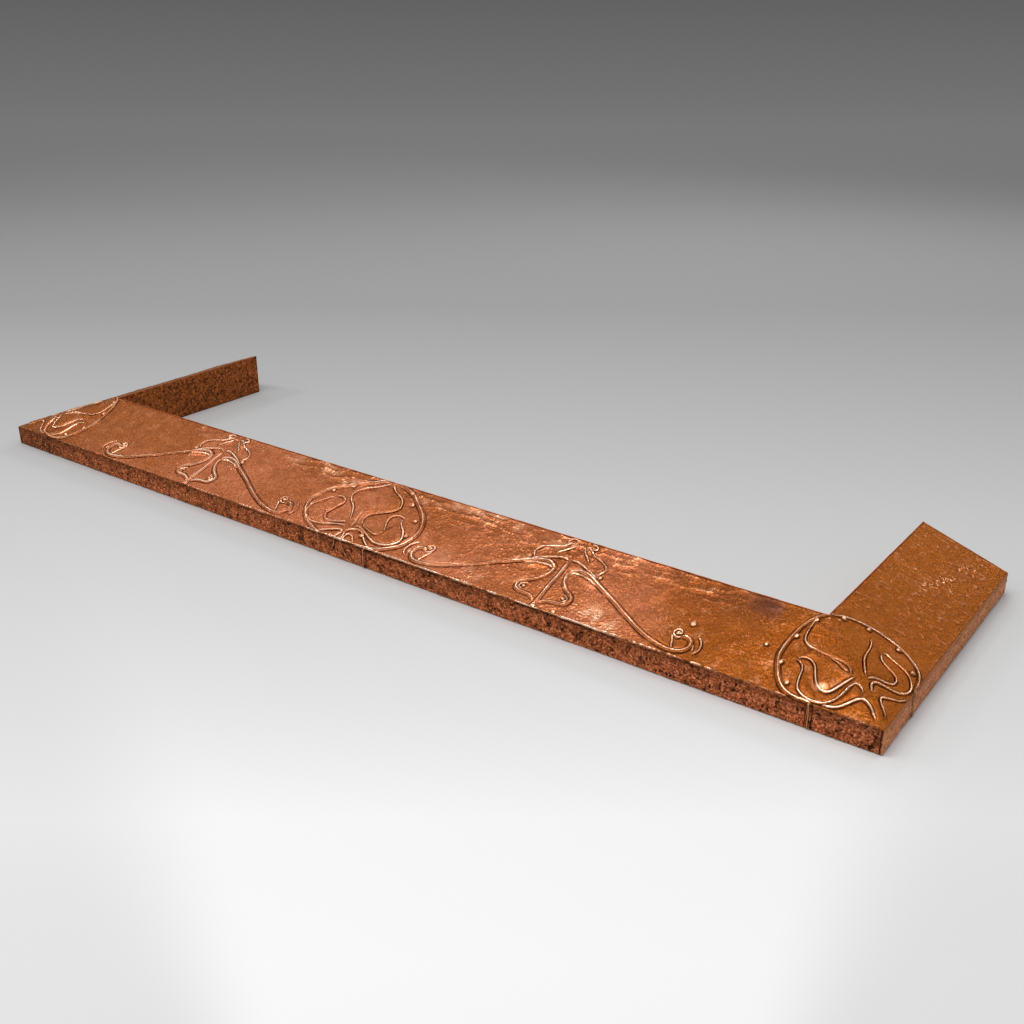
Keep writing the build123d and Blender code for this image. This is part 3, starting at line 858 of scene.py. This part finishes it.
def worked_top_sheet(side, sheet, relief, columns):
    """Grid of a rail's worked top sheet and its shading values.

    columns gives the places along the rail for each row's inset. The relief moves fascia rows
    outward and slope rows upward, never below the timber, and fades out at the rail's sharp corner.
    """
    inset, height, flat, outward, upward = top_sheet_section(sheet)
    if side:
        inset = inset * SIDE_SHARE
        flat = np.where(flat > 0, flat * SIDE_SHARE, flat)
    along = columns(inset)
    grid = [np.broadcast_to(row[:, None], along.shape) for row in (inset, height, flat, outward, upward)]
    inset, height, flat, outward, upward = grid
    u, v = (side * (HALF_WIDTH - flat), along) if side else (along, flat)
    corner = along if side else HALF_WIDTH - np.abs(along)
    ornament, crest, recess = (a.reshape(u.shape) for a in chased(u, v, relief))
    # The fascia is where the relief goes outward
    fascia = outward
    marks, hollow_dirt_and_glint = hammered(side, along, inset, flat, fascia, relief)
    edge = wavy_edge(u, flat)
    edge_along = wavy_edge(u, 0 * flat)
    dome = corner_dome(u, v)
    rise = ornament + marks * (1 - 0.75 * np.clip(crest + recess, 0, 1)) + edge
    lowest = -0.85 * sheet.thickness / MM
    rise = np.maximum(rise, lowest)
    free = 1 - (1 - smooth(corner / 6)) * (1 - smooth(inset / 5))
    drop = hip_drop(side, inset, along, sheet.hip_rounding / MM + 3 * dome, sheet)
    z = height + upward * np.maximum(free * rise + 0.7 * dome - drop, lowest)
    vertices = placed_on_rail(side, inset - outward * free * rise, along, z)

    # Painted highlight on the front fold's bead and painted shadow under it, painted highlight along the
    # corner's arris, and the dark joint of the corner
    fold_highlight = np.clip(1.4 * edge - 0.15, 0, 1) * np.clip(outward + upward, 0, 1)
    fold_shadow = np.exp(-(((flat + 2.8) / 1.1) ** 2)) * np.clip(1.2 * edge_along, 0, 1)
    arris = np.exp(-((corner / 1.1) ** 2)) * fascia
    joint = np.exp(-((corner - 2.4) ** 2)) * fascia * (side == 0)
    # Heat stains, and painted shade on the left end of the fascia
    spread = [k * np.exp(-np.hypot(u - px, v - py) ** 2 / r**2) for px, py, r, k in STAINS_AND_SHADE]
    # Painted highlights: patches of the field painted paler, broken up at random
    pale = [k * np.exp(-np.hypot(u - px, (v - py) * 1.5) ** 2 / r**2) for px, py, r, k in FIELD_HIGHLIGHTS]
    pale = np.sum(pale, axis=0) * np.clip(0.8 + 0.9 * lattice(u, v, *FIELD_HIGHLIGHT_BREAKUP), 0, 1.2)
    # Painted glints along fine ripples across the side slopes
    (first, outer), (last, inner) = CURLED
    band = np.interp(along, (first, last), (outer, inner)) - inset
    curled = 0.75 * abs(side) * np.exp(-((band / CURLED_HALF) ** 2)) * smooth((along - first + 15) / 20)
    curled = curled * smooth((last + 10 - along) / 15)
    shading = {
        # Crests also carry painted highlights: the front fold's bead, the corner's arris and patches of the
        # field
        "crest": np.maximum.reduce([crest * (1 - 0.5 * fascia), 0.75 * fold_highlight, 0.3 * arris, pale]),
        # Recesses: oxide in the chased lines, the corner's dark joint and the painted shadow under the front
        # fold
        "recess": np.maximum.reduce([recess, 0.9 * joint, 0.85 * fold_shadow]),
        "fascia": fascia,
        "side": np.full_like(u, abs(side)),
        "stain_and_shade": np.sum(spread, axis=0),
        # The copper is washed a darker orange towards the right end, and half as much towards the left one:
        # partly its own tone, partly painted shade
        "amber_and_shade": smooth((u - 330) / 150) + 0.5 * smooth((-400 - u) / 130),
        "hollow_dirt_and_glint": hollow_dirt_and_glint,
        "curled": curled * np.clip(0.75 + 0.9 * lattice(u, v, *CURLING), 0, 1),
    }
    return vertices, shading


def worked_lining(side, sheet, columns):
    """Grid of a rail's lining, stippled all over, and its shading values."""
    inset, height, share, rim = lining_section(sheet)
    if side:
        inset = inset - (FRONT_RAIL - SIDE_RAIL)
    along = columns(inset)
    grid = [np.broadcast_to(row[:, None], along.shape) for row in (inset, height, share, rim)]
    inset, height, share, rim = grid
    stipple = 0.55 - bowls(along, height + 90 * (side + 2), *STIPPLE)
    swell = lattice(along, height, *LINING_SWELL) + 0.5 * lattice(along, height, *LINING_RIPPLE)
    rise = share * (0.4 * np.clip(stipple, -0.4, 0.5) + 0.3 * swell - 0.25)
    nibble = rim * (0.25 + 0.25 * lattice(along, 0 * along, *RIM_NIBBLE))
    return placed_on_rail(side, inset + rise, along, height - nibble), {"crest": rim}


def grid_normals(vertices):
    """Unit normals of a grid of points, from its central differences."""
    down, across = np.gradient(vertices, axis=0), np.gradient(vertices, axis=1)
    normal = np.cross(across, down)
    return normal / np.maximum(np.linalg.norm(normal, axis=-1, keepdims=True), 1e-12)


def loop_mesh(name, vertices, normals, shading):
    """A watertight mesh from a closed outline (rows) carried along a rail (columns).

    Each end is shut by one face. The whole rail's normals are kept, so that panels cut from one
    rail meet without a visible joint.
    """
    rows, columns = vertices.shape[:2]
    index = np.arange(rows * columns).reshape(rows, columns)
    below = np.roll(index, -1, axis=0)
    quads = np.stack([index[:, :-1], index[:, 1:], below[:, 1:], below[:, :-1]], -1).reshape(-1, 4)
    corners = np.concatenate([quads.ravel(), index[:, 0], index[::-1, -1]])
    starts = np.concatenate([np.arange(len(quads)) * 4, len(quads) * 4 + np.array([0, rows])])
    mesh = bpy.data.meshes.new(name)
    mesh.vertices.add(rows * columns)
    mesh.vertices.foreach_set("co", vertices.astype(np.float32).ravel())
    mesh.loops.add(len(corners))
    mesh.loops.foreach_set("vertex_index", corners.astype(np.int32))
    mesh.polygons.add(len(starts))
    mesh.polygons.foreach_set("loop_start", starts.astype(np.int32))
    mesh.update(calc_edges=True)
    mesh.normals_split_custom_set_from_vertices(normals.reshape(-1, 3))
    for key, values in shading.items():
        layer = mesh.attributes.new(key, "FLOAT", "POINT")
        layer.data.foreach_set("value", values.astype(np.float32).ravel())
    return mesh


def add_piece(name, mesh, slot, replaced):
    """A finished piece at the origin that rides on the body and stands for a CAD node."""
    piece = bpy.data.objects.new(name, mesh)
    bpy.context.scene.collection.objects.link(piece)
    mesh.materials.append(finished(slot))
    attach(piece, "root")
    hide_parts(replaced)
    return piece


def add_rail_piece(name, turned, vertices, shading, slot, replaced):
    """One piece for a whole rail. Where rows and columns run the other way round than on the front
    sheet, it is turned over column by column to keep its faces outward."""
    normals = grid_normals(vertices)
    if turned:
        vertices, normals = vertices[:, ::-1], -normals[:, ::-1]
        shading = {key: layer[:, ::-1] for key, layer in shading.items()}
    add_piece(name, loop_mesh(name, vertices, normals, shading), slot, replaced)


# Where the corner panels of the front rail's sheet begin, and where its middle panel ends
CORNER_PANEL, MIDDLE_PANEL = 470.0, 95.0

# Panels that the front rail's sheet is cut into, with the place where each one starts
PANELS = {
    "left_corner": -HALF_WIDTH,
    "left_outer": -CORNER_PANEL,
    "left_inner": SPRAY_PLACES[0],
    "centre": -MIDDLE_PANEL,
    "right_inner": MIDDLE_PANEL,
    "right_outer": SPRAY_PLACES[1],
    "right_corner": CORNER_PANEL,
}


class FENDER_OT_front_sheet(bpy.types.Operator):
    """Build the front rail's copper sheet, with all its chased ornament."""

    bl_idname = "fender.front_sheet"
    bl_label = "Front sheet"

    def execute(self, context):
        scene = context.scene
        sheet, relief = scene.fender_sheet, scene.fender_relief
        bounds = [*PANELS.values(), HALF_WIDTH]
        places = [steps(low, high, sheet.pitch / MM) for low, high in zip(bounds, bounds[1:])]
        starts = np.cumsum([0] + [len(p) for p in places])
        straight = np.concatenate([*places, [HALF_WIDTH]])

        def columns(inset):
            """Straight between the corner panels, and drawn in to the mitre along each of them."""
            reach = HALF_WIDTH - inset[:, None] * SIDE_SHARE
            beyond = (np.abs(straight) - CORNER_PANEL) / (HALF_WIDTH - CORNER_PANEL)
            drawn = np.sign(straight) * (CORNER_PANEL + beyond * (reach - CORNER_PANEL))
            return np.where(np.abs(straight) > CORNER_PANEL, drawn, straight)

        vertices, shading = worked_top_sheet(0, sheet, relief, columns)
        normals = grid_normals(vertices)
        for name, start, end in zip(PANELS, starts, starts[1:]):
            part = np.s_[:, start : end + 1]
            values = {key: layer[part] for key, layer in shading.items()}
            mesh = loop_mesh(name, vertices[part], normals[part], values)
            add_piece(f"front_sheet_{name}", mesh, "copper", "front_top_sheet")
        return {"FINISHED"}


class FENDER_OT_side_sheets(bpy.types.Operator):
    """Build the copper sheets of both side rails."""

    bl_idname = "fender.side_sheets"
    bl_label = "Side sheets"

    def execute(self, context):
        scene = context.scene
        sheet, relief = scene.fender_sheet, scene.fender_relief
        pitch, end, fan = sheet.pitch / MM, DEPTH - sheet.thickness / MM, SIDE_ORNAMENT_END
        straight = np.concatenate([steps(0, fan, pitch), steps(fan, end, COARSE * pitch), [end]])

        def columns(inset):
            """Drawn out from the mitre, and straight from where the ornament ends."""
            start = inset[:, None] / SIDE_SHARE
            return np.where(straight < fan, start + straight / fan * (fan - start), straight)

        for name, side in (("right", 1), ("left", -1)):
            vertices, shading = worked_top_sheet(side, sheet, relief, columns)
            add_rail_piece(f"{name}_sheet", side < 0, vertices, shading, "copper", f"{name}_top_sheet")
        return {"FINISHED"}


class FENDER_OT_linings(bpy.types.Operator):
    """Build the stippled linings on the hearth side of the three rails."""

    bl_idname = "fender.linings"
    bl_label = "Linings"

    def execute(self, context):
        sheet = context.scene.fender_sheet
        pitch, end = COARSE * sheet.pitch / MM, DEPTH - sheet.thickness / MM
        front_share, side_share = (
            np.linspace(0, 1, round(whole / pitch)) for whole in (2 * HALF_WIDTH, DEPTH)
        )

        def front_columns(inset):
            """From mitre to mitre."""
            return (HALF_WIDTH - inset[:, None] * SIDE_SHARE) * (2 * front_share - 1)

        def side_columns(inset):
            """From the mitre to the end plate."""
            start = inset[:, None] / SIDE_SHARE
            return start + side_share * (end - start)

        for name, side in (("front", 0), ("right", 1), ("left", -1)):
            columns = side_columns if side else front_columns
            vertices, shading = worked_lining(side, sheet, columns)
            add_rail_piece(f"{name}_lining_sheet", side >= 0, vertices, shading,
                           "copper_dark", f"{name}_lining")
        return {"FINISHED"}


# ---- Finishes ----


def add(tree, kind, inputs, output=0, **settings):
    """Adds a node with its settings, links or sets its inputs and gives one of its outputs.

    Inputs are given by name or number, or in their order from the first.
    """
    node = tree.nodes.new(kind)
    for name, value in settings.items():
        setattr(node, name, value)
    for key, value in inputs.items() if isinstance(inputs, dict) else enumerate(inputs):
        if isinstance(value, bpy.types.NodeSocket):
            tree.links.new(value, node.inputs[key])
        elif node.inputs[key].type == "RGBA":
            node.inputs[key].default_value = (*value[:3], 1)
        else:
            node.inputs[key].default_value = value
    return node.outputs[output] if len(node.outputs) else None


def started(name, *noises):
    """A new material, its tree, the place of each point on the fender, and its noises.

    Each noise has its feature size in millimetres, its detail, its roughness and, where it runs one
    way, how far it is squeezed along each axis.
    """
    material = bpy.data.materials.new(name)
    material.use_nodes = True
    tree = material.node_tree
    tree.nodes.clear()
    place = add(tree, "ShaderNodeTexCoord", (), "Object")
    made = []
    for size, detail, roughness, *squeeze in noises:
        spot = place
        if squeeze:
            spot = add(tree, "ShaderNodeMapping", {"Vector": place, "Scale": squeeze[0]})
        inputs = {"Vector": spot, "Scale": 1 / (size * MM), "Detail": detail, "Roughness": roughness}
        made.append(add(tree, "ShaderNodeTexNoise", inputs))
    return material, tree, place, *made


def washed(tree, base, *washes):
    """A colour with others laid over it. Each wash's share goes smoothly from nothing to its most
    as its value goes from low to high."""
    for value, low, high, most, tint in washes:
        share = add(tree, "ShaderNodeMapRange", (value, low, high, 0, most), interpolation_type="SMOOTHSTEP")
        base = add(tree, "ShaderNodeMix", {0: share, 6: base, 7: tint}, 2, data_type="RGBA")
    return base


def surfaced(tree, colour, roughness, metallic, height, depth, coat=0.0):
    """Ends a finish with its shader, over a bump whose height of 1 stands for depth millimetres.

    On metal, the tint is what it reflects at a grazing angle: wax and patina keep that warm. The
    coat is a thin film of wax, which gives a faint second gloss over the metal's own.
    """
    bumped = add(tree, "ShaderNodeBump", {"Height": height, "Strength": 1.0, "Distance": depth * MM})
    values = {"Base Color": colour, "Roughness": roughness, "Metallic": metallic, "Normal": bumped,
              "Coat Weight": coat, "Coat Roughness": 0.12, "Coat Normal": bumped}
    if metallic:
        values["Specular Tint"] = linear("#FFDDBF")
    shader = add(tree, "ShaderNodeBsdfPrincipled", values)
    add(tree, "ShaderNodeOutputMaterial", {"Surface": shader})


def chased_copper(name, finish):
    """Sheet copper, chased and planished by hand, aged and waxed.

    Warm orange-brown metal, worn bright on its crests and black with oxide in the chased lines. Its
    low roughness draws a softbox as a soft band that the hammer marks break up. The fascia is
    matted, pitted and carries the darkest patina. The crests' paleness is partly painted highlight;
    painted highlights and glints also lie on patches of the field, the front fold, the corner's
    arris, the hammer marks' rims and ripples, and a painted sheen on the side rails' fascia. Painted
    shade lies under the front fold, on the side rails' slopes, on the fascia's left end and, in
    part, towards the right end.
    """
    # Clouds and mottle of the patina, grain of the rubbed metal, pits, patches of patina, ripples.
    # Real grain and pits are a few tenths of a millimetre wide, and are drawn coarser so that they show
    material, tree, place, cloud, mottle, grain, pits, patch, curl = started(
        name, (90, 3, 0.5), (15, 5, 0.6), (2.2, 3, 0.7), (4.2, 5, 0.68), (12, 4, 0.6), (9, 1, 0.5)
    )
    crest, recess, fascia, side, amber_and_shade, stain_and_shade, hollow_dirt_and_glint, curled = (
        add(tree, "ShaderNodeAttribute", (), "Fac", attribute_name=key)
        for key in ("crest", "recess", "fascia", "side", "amber_and_shade", "stain_and_shade", "hollow_dirt_and_glint", "curled")
    )
    level = add(tree, "ShaderNodeSeparateXYZ", (place,), "Z")
    # Painted glints: ripples follow a contour line of the noise, 1 to 2 mm wide, painted pale with the
    # crests and raised a little by the bump
    curl = add(tree, "ShaderNodeMath", (curl, 0.5), operation="SUBTRACT")
    curl = add(tree, "ShaderNodeMath", (curl,), operation="ABSOLUTE")
    curl = add(tree, "ShaderNodeMapRange", (curl, 0.035, 0, 0, 1), interpolation_type="SMOOTHSTEP")
    curl = add(tree, "ShaderNodeMath", (curl, curled), operation="MULTIPLY")
    crest = add(tree, "ShaderNodeMath", (crest, curl), operation="MAXIMUM")

    slope = washed(
        tree, finish.copper,
        # Darker orange towards the right end: partly the copper's own tone, partly painted shade
        (amber_and_shade, 0, 1, 1, finish.copper_orange_and_shade),
        (cloud, 0.42, 0.66, 0.6, finish.copper_orange_and_shade),
        (mottle, 0.46, 0.7, 0.45, finish.copper_brown),
        (mottle, 0.46, 0.3, 0.3, finish.copper_light_and_sheen),
        (grain, 0.46, 0.62, 0.5, finish.copper_brown),
        (grain, 0.46, 0.3, 0.3, finish.copper_light_and_sheen),
        # Painted shade: the side rails' slopes are washed a darker orange
        (side, 0, 1, 0.5, finish.copper_orange_and_shade),
        # Dirt in the hammer marks' hollows, and painted glints on their rims and along the rear edge
        (hollow_dirt_and_glint, 0.5, 1, 0.4, finish.copper_brown),
        (hollow_dirt_and_glint, 0.42, 0, 0.5, finish.copper_light_and_sheen),
        (stain_and_shade, 0, 1, 0.9, finish.stain_and_shade),
    )
    band = washed(
        tree, finish.fascia,
        # Heat stains, and painted shade on the left end of the fascia
        (stain_and_shade, 0, 1, 0.7, finish.fascia_dark_and_shade),
        # Painted sheen: the side rails' fascia is painted paler and pinker
        (side, 0, 1, 1, finish.fascia_speckle_and_side_sheen),
        (mottle, 0.4, 0.66, 0.35, finish.copper_brown),
        (grain, 0.47, 0.56, 0.65, finish.fascia_dark_and_shade),
        (grain, 0.46, 0.37, 0.8, finish.fascia_speckle_and_side_sheen),
        # Darker towards the top of the fascia
        (level, 0.012, 0.027, 0.5, finish.fascia_dark_and_shade),
        (patch, 0.5, 0.63, 0.45, finish.fascia_dark_and_shade),
        (pits, 0.55, 0.59, 0.9, finish.oxide_and_shadow),
        # More painted sheen on the side rails' fascia
        (side, 0, 1, 0.35, finish.copper_light_and_sheen),
    )
    colour = washed(
        tree, slope,
        (fascia, 0, 1, 1, band),
        # Oxide in the chased lines, and the painted shadow under the front fold
        (recess, 0, 0.9, 0.95, finish.oxide_and_shadow),
        # The crests' paleness: partly wear, partly painted highlight
        (crest, 0, 0.5, 1, finish.copper_light_and_sheen),
        (crest, 0.45, 0.95, 1, finish.copper_wear_and_highlight),
    )

    # Dull on the fascia and in the chased lines, and polished on the crests
    roughness = add(tree, "ShaderNodeMapRange", (mottle, 0.3, 0.7, 0.2, 0.32))
    for value, change in ((fascia, 0.1), (recess, 0.2), (crest, -0.14)):
        roughness = add(tree, "ShaderNodeMath", (value, change, roughness), operation="MULTIPLY_ADD")

    grained = add(tree, "ShaderNodeMapRange", (fascia, 0, 1, 0.3, 1.4))
    pitted = add(tree, "ShaderNodeMapRange", (fascia, 0, 1, 0.6, -2.6))
    height = add(tree, "ShaderNodeMath", (grain, grained), operation="MULTIPLY")
    height = add(tree, "ShaderNodeMath", (pits, pitted, height), operation="MULTIPLY_ADD")
    worn = add(tree, "ShaderNodeMath", (crest, -0.85, 1.0), operation="MULTIPLY_ADD")
    height = add(tree, "ShaderNodeMath", (height, worn), operation="MULTIPLY")
    height = add(tree, "ShaderNodeMath", (curl, 0.5, height), operation="MULTIPLY_ADD")
    surfaced(tree, colour, roughness, 1.0, height, 1.2, coat=0.08)
    return material


def browned_copper(name, finish):
    """Sheet copper browned by the fire: dull and dark, with a bright rim where it is handled."""
    material, tree, _, mottle, grain = started(name, (4.6, 5, 0.7), (3.2, 3, 0.7))
    rim = add(tree, "ShaderNodeAttribute", (), "Fac", attribute_name="crest")
    colour = washed(
        tree, finish.lining,
        (mottle, 0.44, 0.6, 0.95, finish.lining_dark),
        (grain, 0.48, 0.36, 0.6, finish.fascia),
        (rim, 0, 1, 1, finish.copper),
    )
    roughness = add(tree, "ShaderNodeMapRange", (mottle, 0.3, 0.7, 0.44, 0.6))
    height = add(tree, "ShaderNodeMath", (grain, 0.5, mottle), operation="MULTIPLY_ADD")
    surfaced(tree, colour, roughness, 0.8, height, 0.7)
    return material


def dull_copper(name, finish):
    """Cut copper tacks, dulled by handling: brown metal with a broad, weak gloss."""
    material, tree, _, mottle = started(name, (1.5, 3, 0.6))
    colour = washed(tree, finish.copper, (mottle, 0.35, 0.7, 1, finish.copper_brown))
    surfaced(tree, colour, 0.45, 1.0, mottle, 0.1)
    return material


def sawn_pine(name, finish):
    """Sawn pine, unfinished: pale early wood, browner rings and saw marks across the grain.

    Real fibres are too fine to show and are drawn coarser.
    """
    material, tree, _, grain, rings, saw = started(
        name, (4, 4, 0.6, (0.06, 0.6, 1)), (14, 2, 0.4, (0.05, 1, 1.4)), (2.5, 2, 0.5, (1, 0.1, 0.1))
    )
    colour = washed(
        tree, finish.timber,
        (rings, 0.4, 0.62, 1, finish.timber_ring),
        (grain, 0.5, 0.8, 0.5, finish.timber_ring),
    )
    height = add(tree, "ShaderNodeMath", (grain, saw), operation="ADD")
    surfaced(tree, colour, 0.75, 0.0, height, 0.25)
    return material


def turned_beech(name, finish):
    """Turned beech: pale, close and dull, with short dark flecks."""
    material, tree, _, fleck = started(name, (1.4, 3, 0.6, (0.4, 0.4, 1)))
    colour = washed(tree, finish.dowel, (fleck, 0.5, 0.75, 0.6, finish.timber_ring))
    surfaced(tree, colour, 0.6, 0.0, fleck, 0.08)
    return material


def black_iron(name, finish):
    """Wrought iron under its black forge scale: dark, uneven and half dull, with a little rust."""
    material, tree, _, mottle, pits = started(name, (7, 5, 0.65), (1.6, 3, 0.6))
    colour = washed(tree, finish.iron, (mottle, 0.52, 0.72, 0.7, finish.rust))
    roughness = add(tree, "ShaderNodeMapRange", (mottle, 0.3, 0.7, 0.5, 0.72))
    height = add(tree, "ShaderNodeMath", (mottle, pits), operation="ADD")
    surfaced(tree, colour, roughness, 0.7, height, 0.3)
    return material


# Each slot's material and how it is built
FINISHES = {
    "copper": ("chased_sheet_copper", chased_copper),
    "copper_dark": ("fire_browned_copper", browned_copper),
    "copper_tack": ("dull_tack_copper", dull_copper),
    "timber": ("sawn_pine", sawn_pine),
    "dowel": ("turned_beech", turned_beech),
    "iron": ("forge_black_iron", black_iron),
}


def finished(slot):
    """The material of a slot, built when it is first asked for."""
    name, build = FINISHES[slot]
    return bpy.data.materials.get(name) or build(name, bpy.context.scene.fender_finish)


class FENDER_OT_frame_finishes(bpy.types.Operator):
    """Give the timber, dowels, ironwork, tacks and end plates their finishes."""

    bl_idname = "fender.frame_finishes"
    bl_label = "Frame finishes"

    def execute(self, context):
        slots = {part["node"]: part["material_slot"] for part in frame["record"]["subparts"]}
        for name, node in frame["nodes"].items():
            node.data.materials.clear()
            node.data.materials.append(finished(slots[name]))
        return {"FINISHED"}


# ---- Stage ----

# What the camera looks at, the width of its sensor in millimetres, and half the floor's width
LOOK_AT = Vector((79.867, 43.506, 0)) * MM
SENSOR_WIDTH = 36
FLOOR_REACH = 200.0

# Small lamps that draw a highlight along beads of every direction
LAMPS = ((-2.0, -1.0, 1.5), (-1.1, -1.4, 2.6), (0.9, 0.5, 2.6), (-0.6, 2.3, 1.6))

# Tone of the floor's paint, a painted pool of light and its falloff, by the steepness (tangent) of the line
# from it to the place set for the camera. The paint is fixed on the floor, reads no camera, and stays where
# it is in every other view
FLOOR_LIGHT_TONES = (
    (0, "#919191"), (0.05, "#A1A1A1"), (0.1, "#ABABAB"), (0.16, "#9F9F9F"), (0.25, "#9E9E9E"),
    (0.335, "#AEAEAE"), (0.44, "#BFBFBF"), (0.54, "#CBCBCB"), (0.66, "#D9D9D9"), (0.8, "#EBEBEB"),
    (1, "#EFEFEF"),
)


class FENDER_OT_stage(bpy.types.Operator):
    """Build the floor, the studio light and the camera."""

    bl_idname = "fender.stage"
    bl_label = "Stage"

    def execute(self, context):
        stage = context.scene.fender_stage
        build_camera(stage)
        build_floor(stage)
        build_lights(stage)
        context.scene.view_settings.view_transform = "Standard"
        return {"FINISHED"}


def camera_back(stage):
    """Unit vector from what the camera looks at towards the camera."""
    a, e = stage.azimuth, stage.elevation
    return Vector((math.sin(a) * math.cos(e), -math.cos(a) * math.cos(e), math.sin(e)))


def aimed(data, place, axes):
    """A light or the camera at a place, from the directions of its own right, up and back."""
    thing = bpy.data.objects.new(data.name, data)
    thing.matrix_world = Matrix.Translation(place) @ Matrix(axes).transposed().to_4x4()
    bpy.context.scene.collection.objects.link(thing)
    return thing


def build_camera(stage):
    """The camera, turned round its own axis by the roll."""
    back = camera_back(stage)
    right = Vector((0, 0, 1)).cross(back).normalized()
    up = back.cross(right)
    c, s = math.cos(stage.roll), math.sin(stage.roll)
    data = bpy.data.cameras.new("camera")
    data.lens = stage.lens
    data.sensor_width = SENSOR_WIDTH
    axes = (c * right + s * up, c * up - s * right, back)
    bpy.context.scene.camera = aimed(data, LOOK_AT + back * stage.distance, axes)


def build_floor(stage):
    """A wide floor with a painted pool of light: pale in front of the fender, and darker behind it and to
    its sides.
    """
    corners = [(x * FLOOR_REACH, y * FLOOR_REACH, 0) for x, y in ((-1, -1), (1, -1), (1, 1), (-1, 1))]
    mesh = bpy.data.meshes.new("floor")
    mesh.from_pydata(corners, [], [(0, 1, 2, 3)])
    floor = bpy.data.objects.new("floor", mesh)
    bpy.context.scene.collection.objects.link(floor)
    material, tree, place = started("floor_painted_with_light")
    away = Vector((-math.sin(stage.azimuth), math.cos(stage.azimuth), 0))
    across = Vector((away.y, -away.x, 0))
    eye = LOOK_AT + camera_back(stage) * stage.distance
    distances = []
    for line in (away, across):
        far = add(tree, "ShaderNodeVectorMath", (place, line), "Value", operation="DOT_PRODUCT")
        distances.append(add(tree, "ShaderNodeMath", (far, eye.dot(line)), operation="SUBTRACT"))
    depth, lateral = distances
    depth = add(tree, "ShaderNodeMath", (depth, 0.1), operation="MAXIMUM")
    steep = add(tree, "ShaderNodeMath", (eye.z, depth), operation="DIVIDE")
    tone = add(tree, "ShaderNodeValToRGB", {"Fac": steep})
    stops = tone.node.color_ramp.elements
    stops.remove(stops[1])
    stops[0].color = (*linear(FLOOR_LIGHT_TONES[0][1]), 1)
    for stop, code in FLOOR_LIGHT_TONES[1:]:
        stops.new(stop).color = (*linear(code), 1)
    # The painted pool of light is a little darker at its sides and closes towards the near end
    wide = add(tree, "ShaderNodeMath", (lateral, depth), operation="DIVIDE")
    wide = add(tree, "ShaderNodeMath", (wide,), operation="ABSOLUTE")
    edge = add(tree, "ShaderNodeMapRange", (wide, 0.1, 0.5, 0, 1), interpolation_type="SMOOTHSTEP")
    below = add(tree, "ShaderNodeMapRange", (steep, 1.1, 1.9, 0, 1), interpolation_type="SMOOTHSTEP")
    edge = add(tree, "ShaderNodeMath", (edge, below), operation="MAXIMUM")
    edge = add(tree, "ShaderNodeMath", (edge, steep), operation="MULTIPLY")
    tone = washed(tree, tone, (edge, 0.4, 1.0, 0.24, linear("#808080")))
    shader = add(tree, "ShaderNodeBsdfDiffuse", {"Color": tone})
    add(tree, "ShaderNodeOutputMaterial", {"Surface": shader})
    mesh.materials.append(material)


def area_light(name, size, power, place, target, along=(1, 0, 0)):
    """A softbox of a given length and width, turned to a target, with its length along a line."""
    lamp = bpy.data.lights.new(name, "AREA")
    lamp.shape = "RECTANGLE"
    lamp.size, lamp.size_y = size
    lamp.energy = power
    back = (Vector(place) - Vector(target)).normalized()
    up = back.cross(Vector(along)).normalized()
    aimed(lamp, place, (up.cross(back), up, back))


def build_lights(stage):
    """A strip light that runs beside the front rail's mirror line, a softbox behind for the side
    rails, one overhead for the floor, small lamps for the beads and a dim grey world."""
    middle = (0.0, -0.13, 0.05)
    area_light("key_strip", (2.4, 0.6), stage.key_power, (-1.93, 0.71, 2.18), middle, (2.17, 0.33, 0.85))
    area_light("rear_softbox", (0.8, 0.6), stage.rear_power, (0.93, 2.57, 1.56), (0.6, 0.0, 0.05))
    area_light("top_softbox", (1.5, 1.5), stage.top_power, (0.0, -0.7, 2.8), (0.1, -0.1, 0.0))
    for number, place in enumerate(LAMPS, 1):
        area_light(f"lamp_{number}", (0.35, 0.35), stage.lamp_power, place, middle)
    world = bpy.data.worlds.new("studio")
    bpy.context.scene.world = world
    world.use_nodes = True
    tree = world.node_tree
    tree.nodes.clear()
    sky = add(tree, "ShaderNodeBackground", {"Color": (1, 1, 1), "Strength": stage.world_strength})
    add(tree, "ShaderNodeOutputWorld", {"Surface": sky})


# ---- Add-on ----

GROUPS = {
    "fender_sheet": FENDER_PG_sheet,
    "fender_relief": FENDER_PG_relief,
    "fender_finish": FENDER_PG_finish,
    "fender_stage": FENDER_PG_stage,
}
OPERATORS = (
    FENDER_OT_front_sheet,
    FENDER_OT_side_sheets,
    FENDER_OT_linings,
    FENDER_OT_frame_finishes,
    FENDER_OT_stage,
)


class FENDER_PT_build(bpy.types.Panel):
    """Lists the fender's pieces and settings."""

    bl_idname = "FENDER_PT_build"
    bl_label = "Copper hearth fender"
    bl_space_type = "VIEW_3D"
    bl_region_type = "UI"
    bl_category = "Fender"

    def draw(self, context):
        for group, kind in GROUPS.items():
            box = self.layout.box()
            for name in kind.__annotations__:
                box.prop(getattr(context.scene, group), name)
        for operator in OPERATORS:
            self.layout.operator(operator.bl_idname)


def register():
    for kind in (*GROUPS.values(), *OPERATORS, FENDER_PT_build):
        bpy.utils.register_class(kind)
    for name, kind in GROUPS.items():
        setattr(bpy.types.Scene, name, bpy.props.PointerProperty(type=kind))


def unregister():
    for name in GROUPS:
        delattr(bpy.types.Scene, name)
    for kind in reversed((*GROUPS.values(), *OPERATORS, FENDER_PT_build)):
        bpy.utils.unregister_class(kind)


def main():
    register()
    bpy.ops.fender.front_sheet()
    bpy.ops.fender.side_sheets()
    bpy.ops.fender.linings()
    bpy.ops.fender.frame_finishes()
    bpy.ops.fender.stage()


if __name__ == "__main__":
    main()
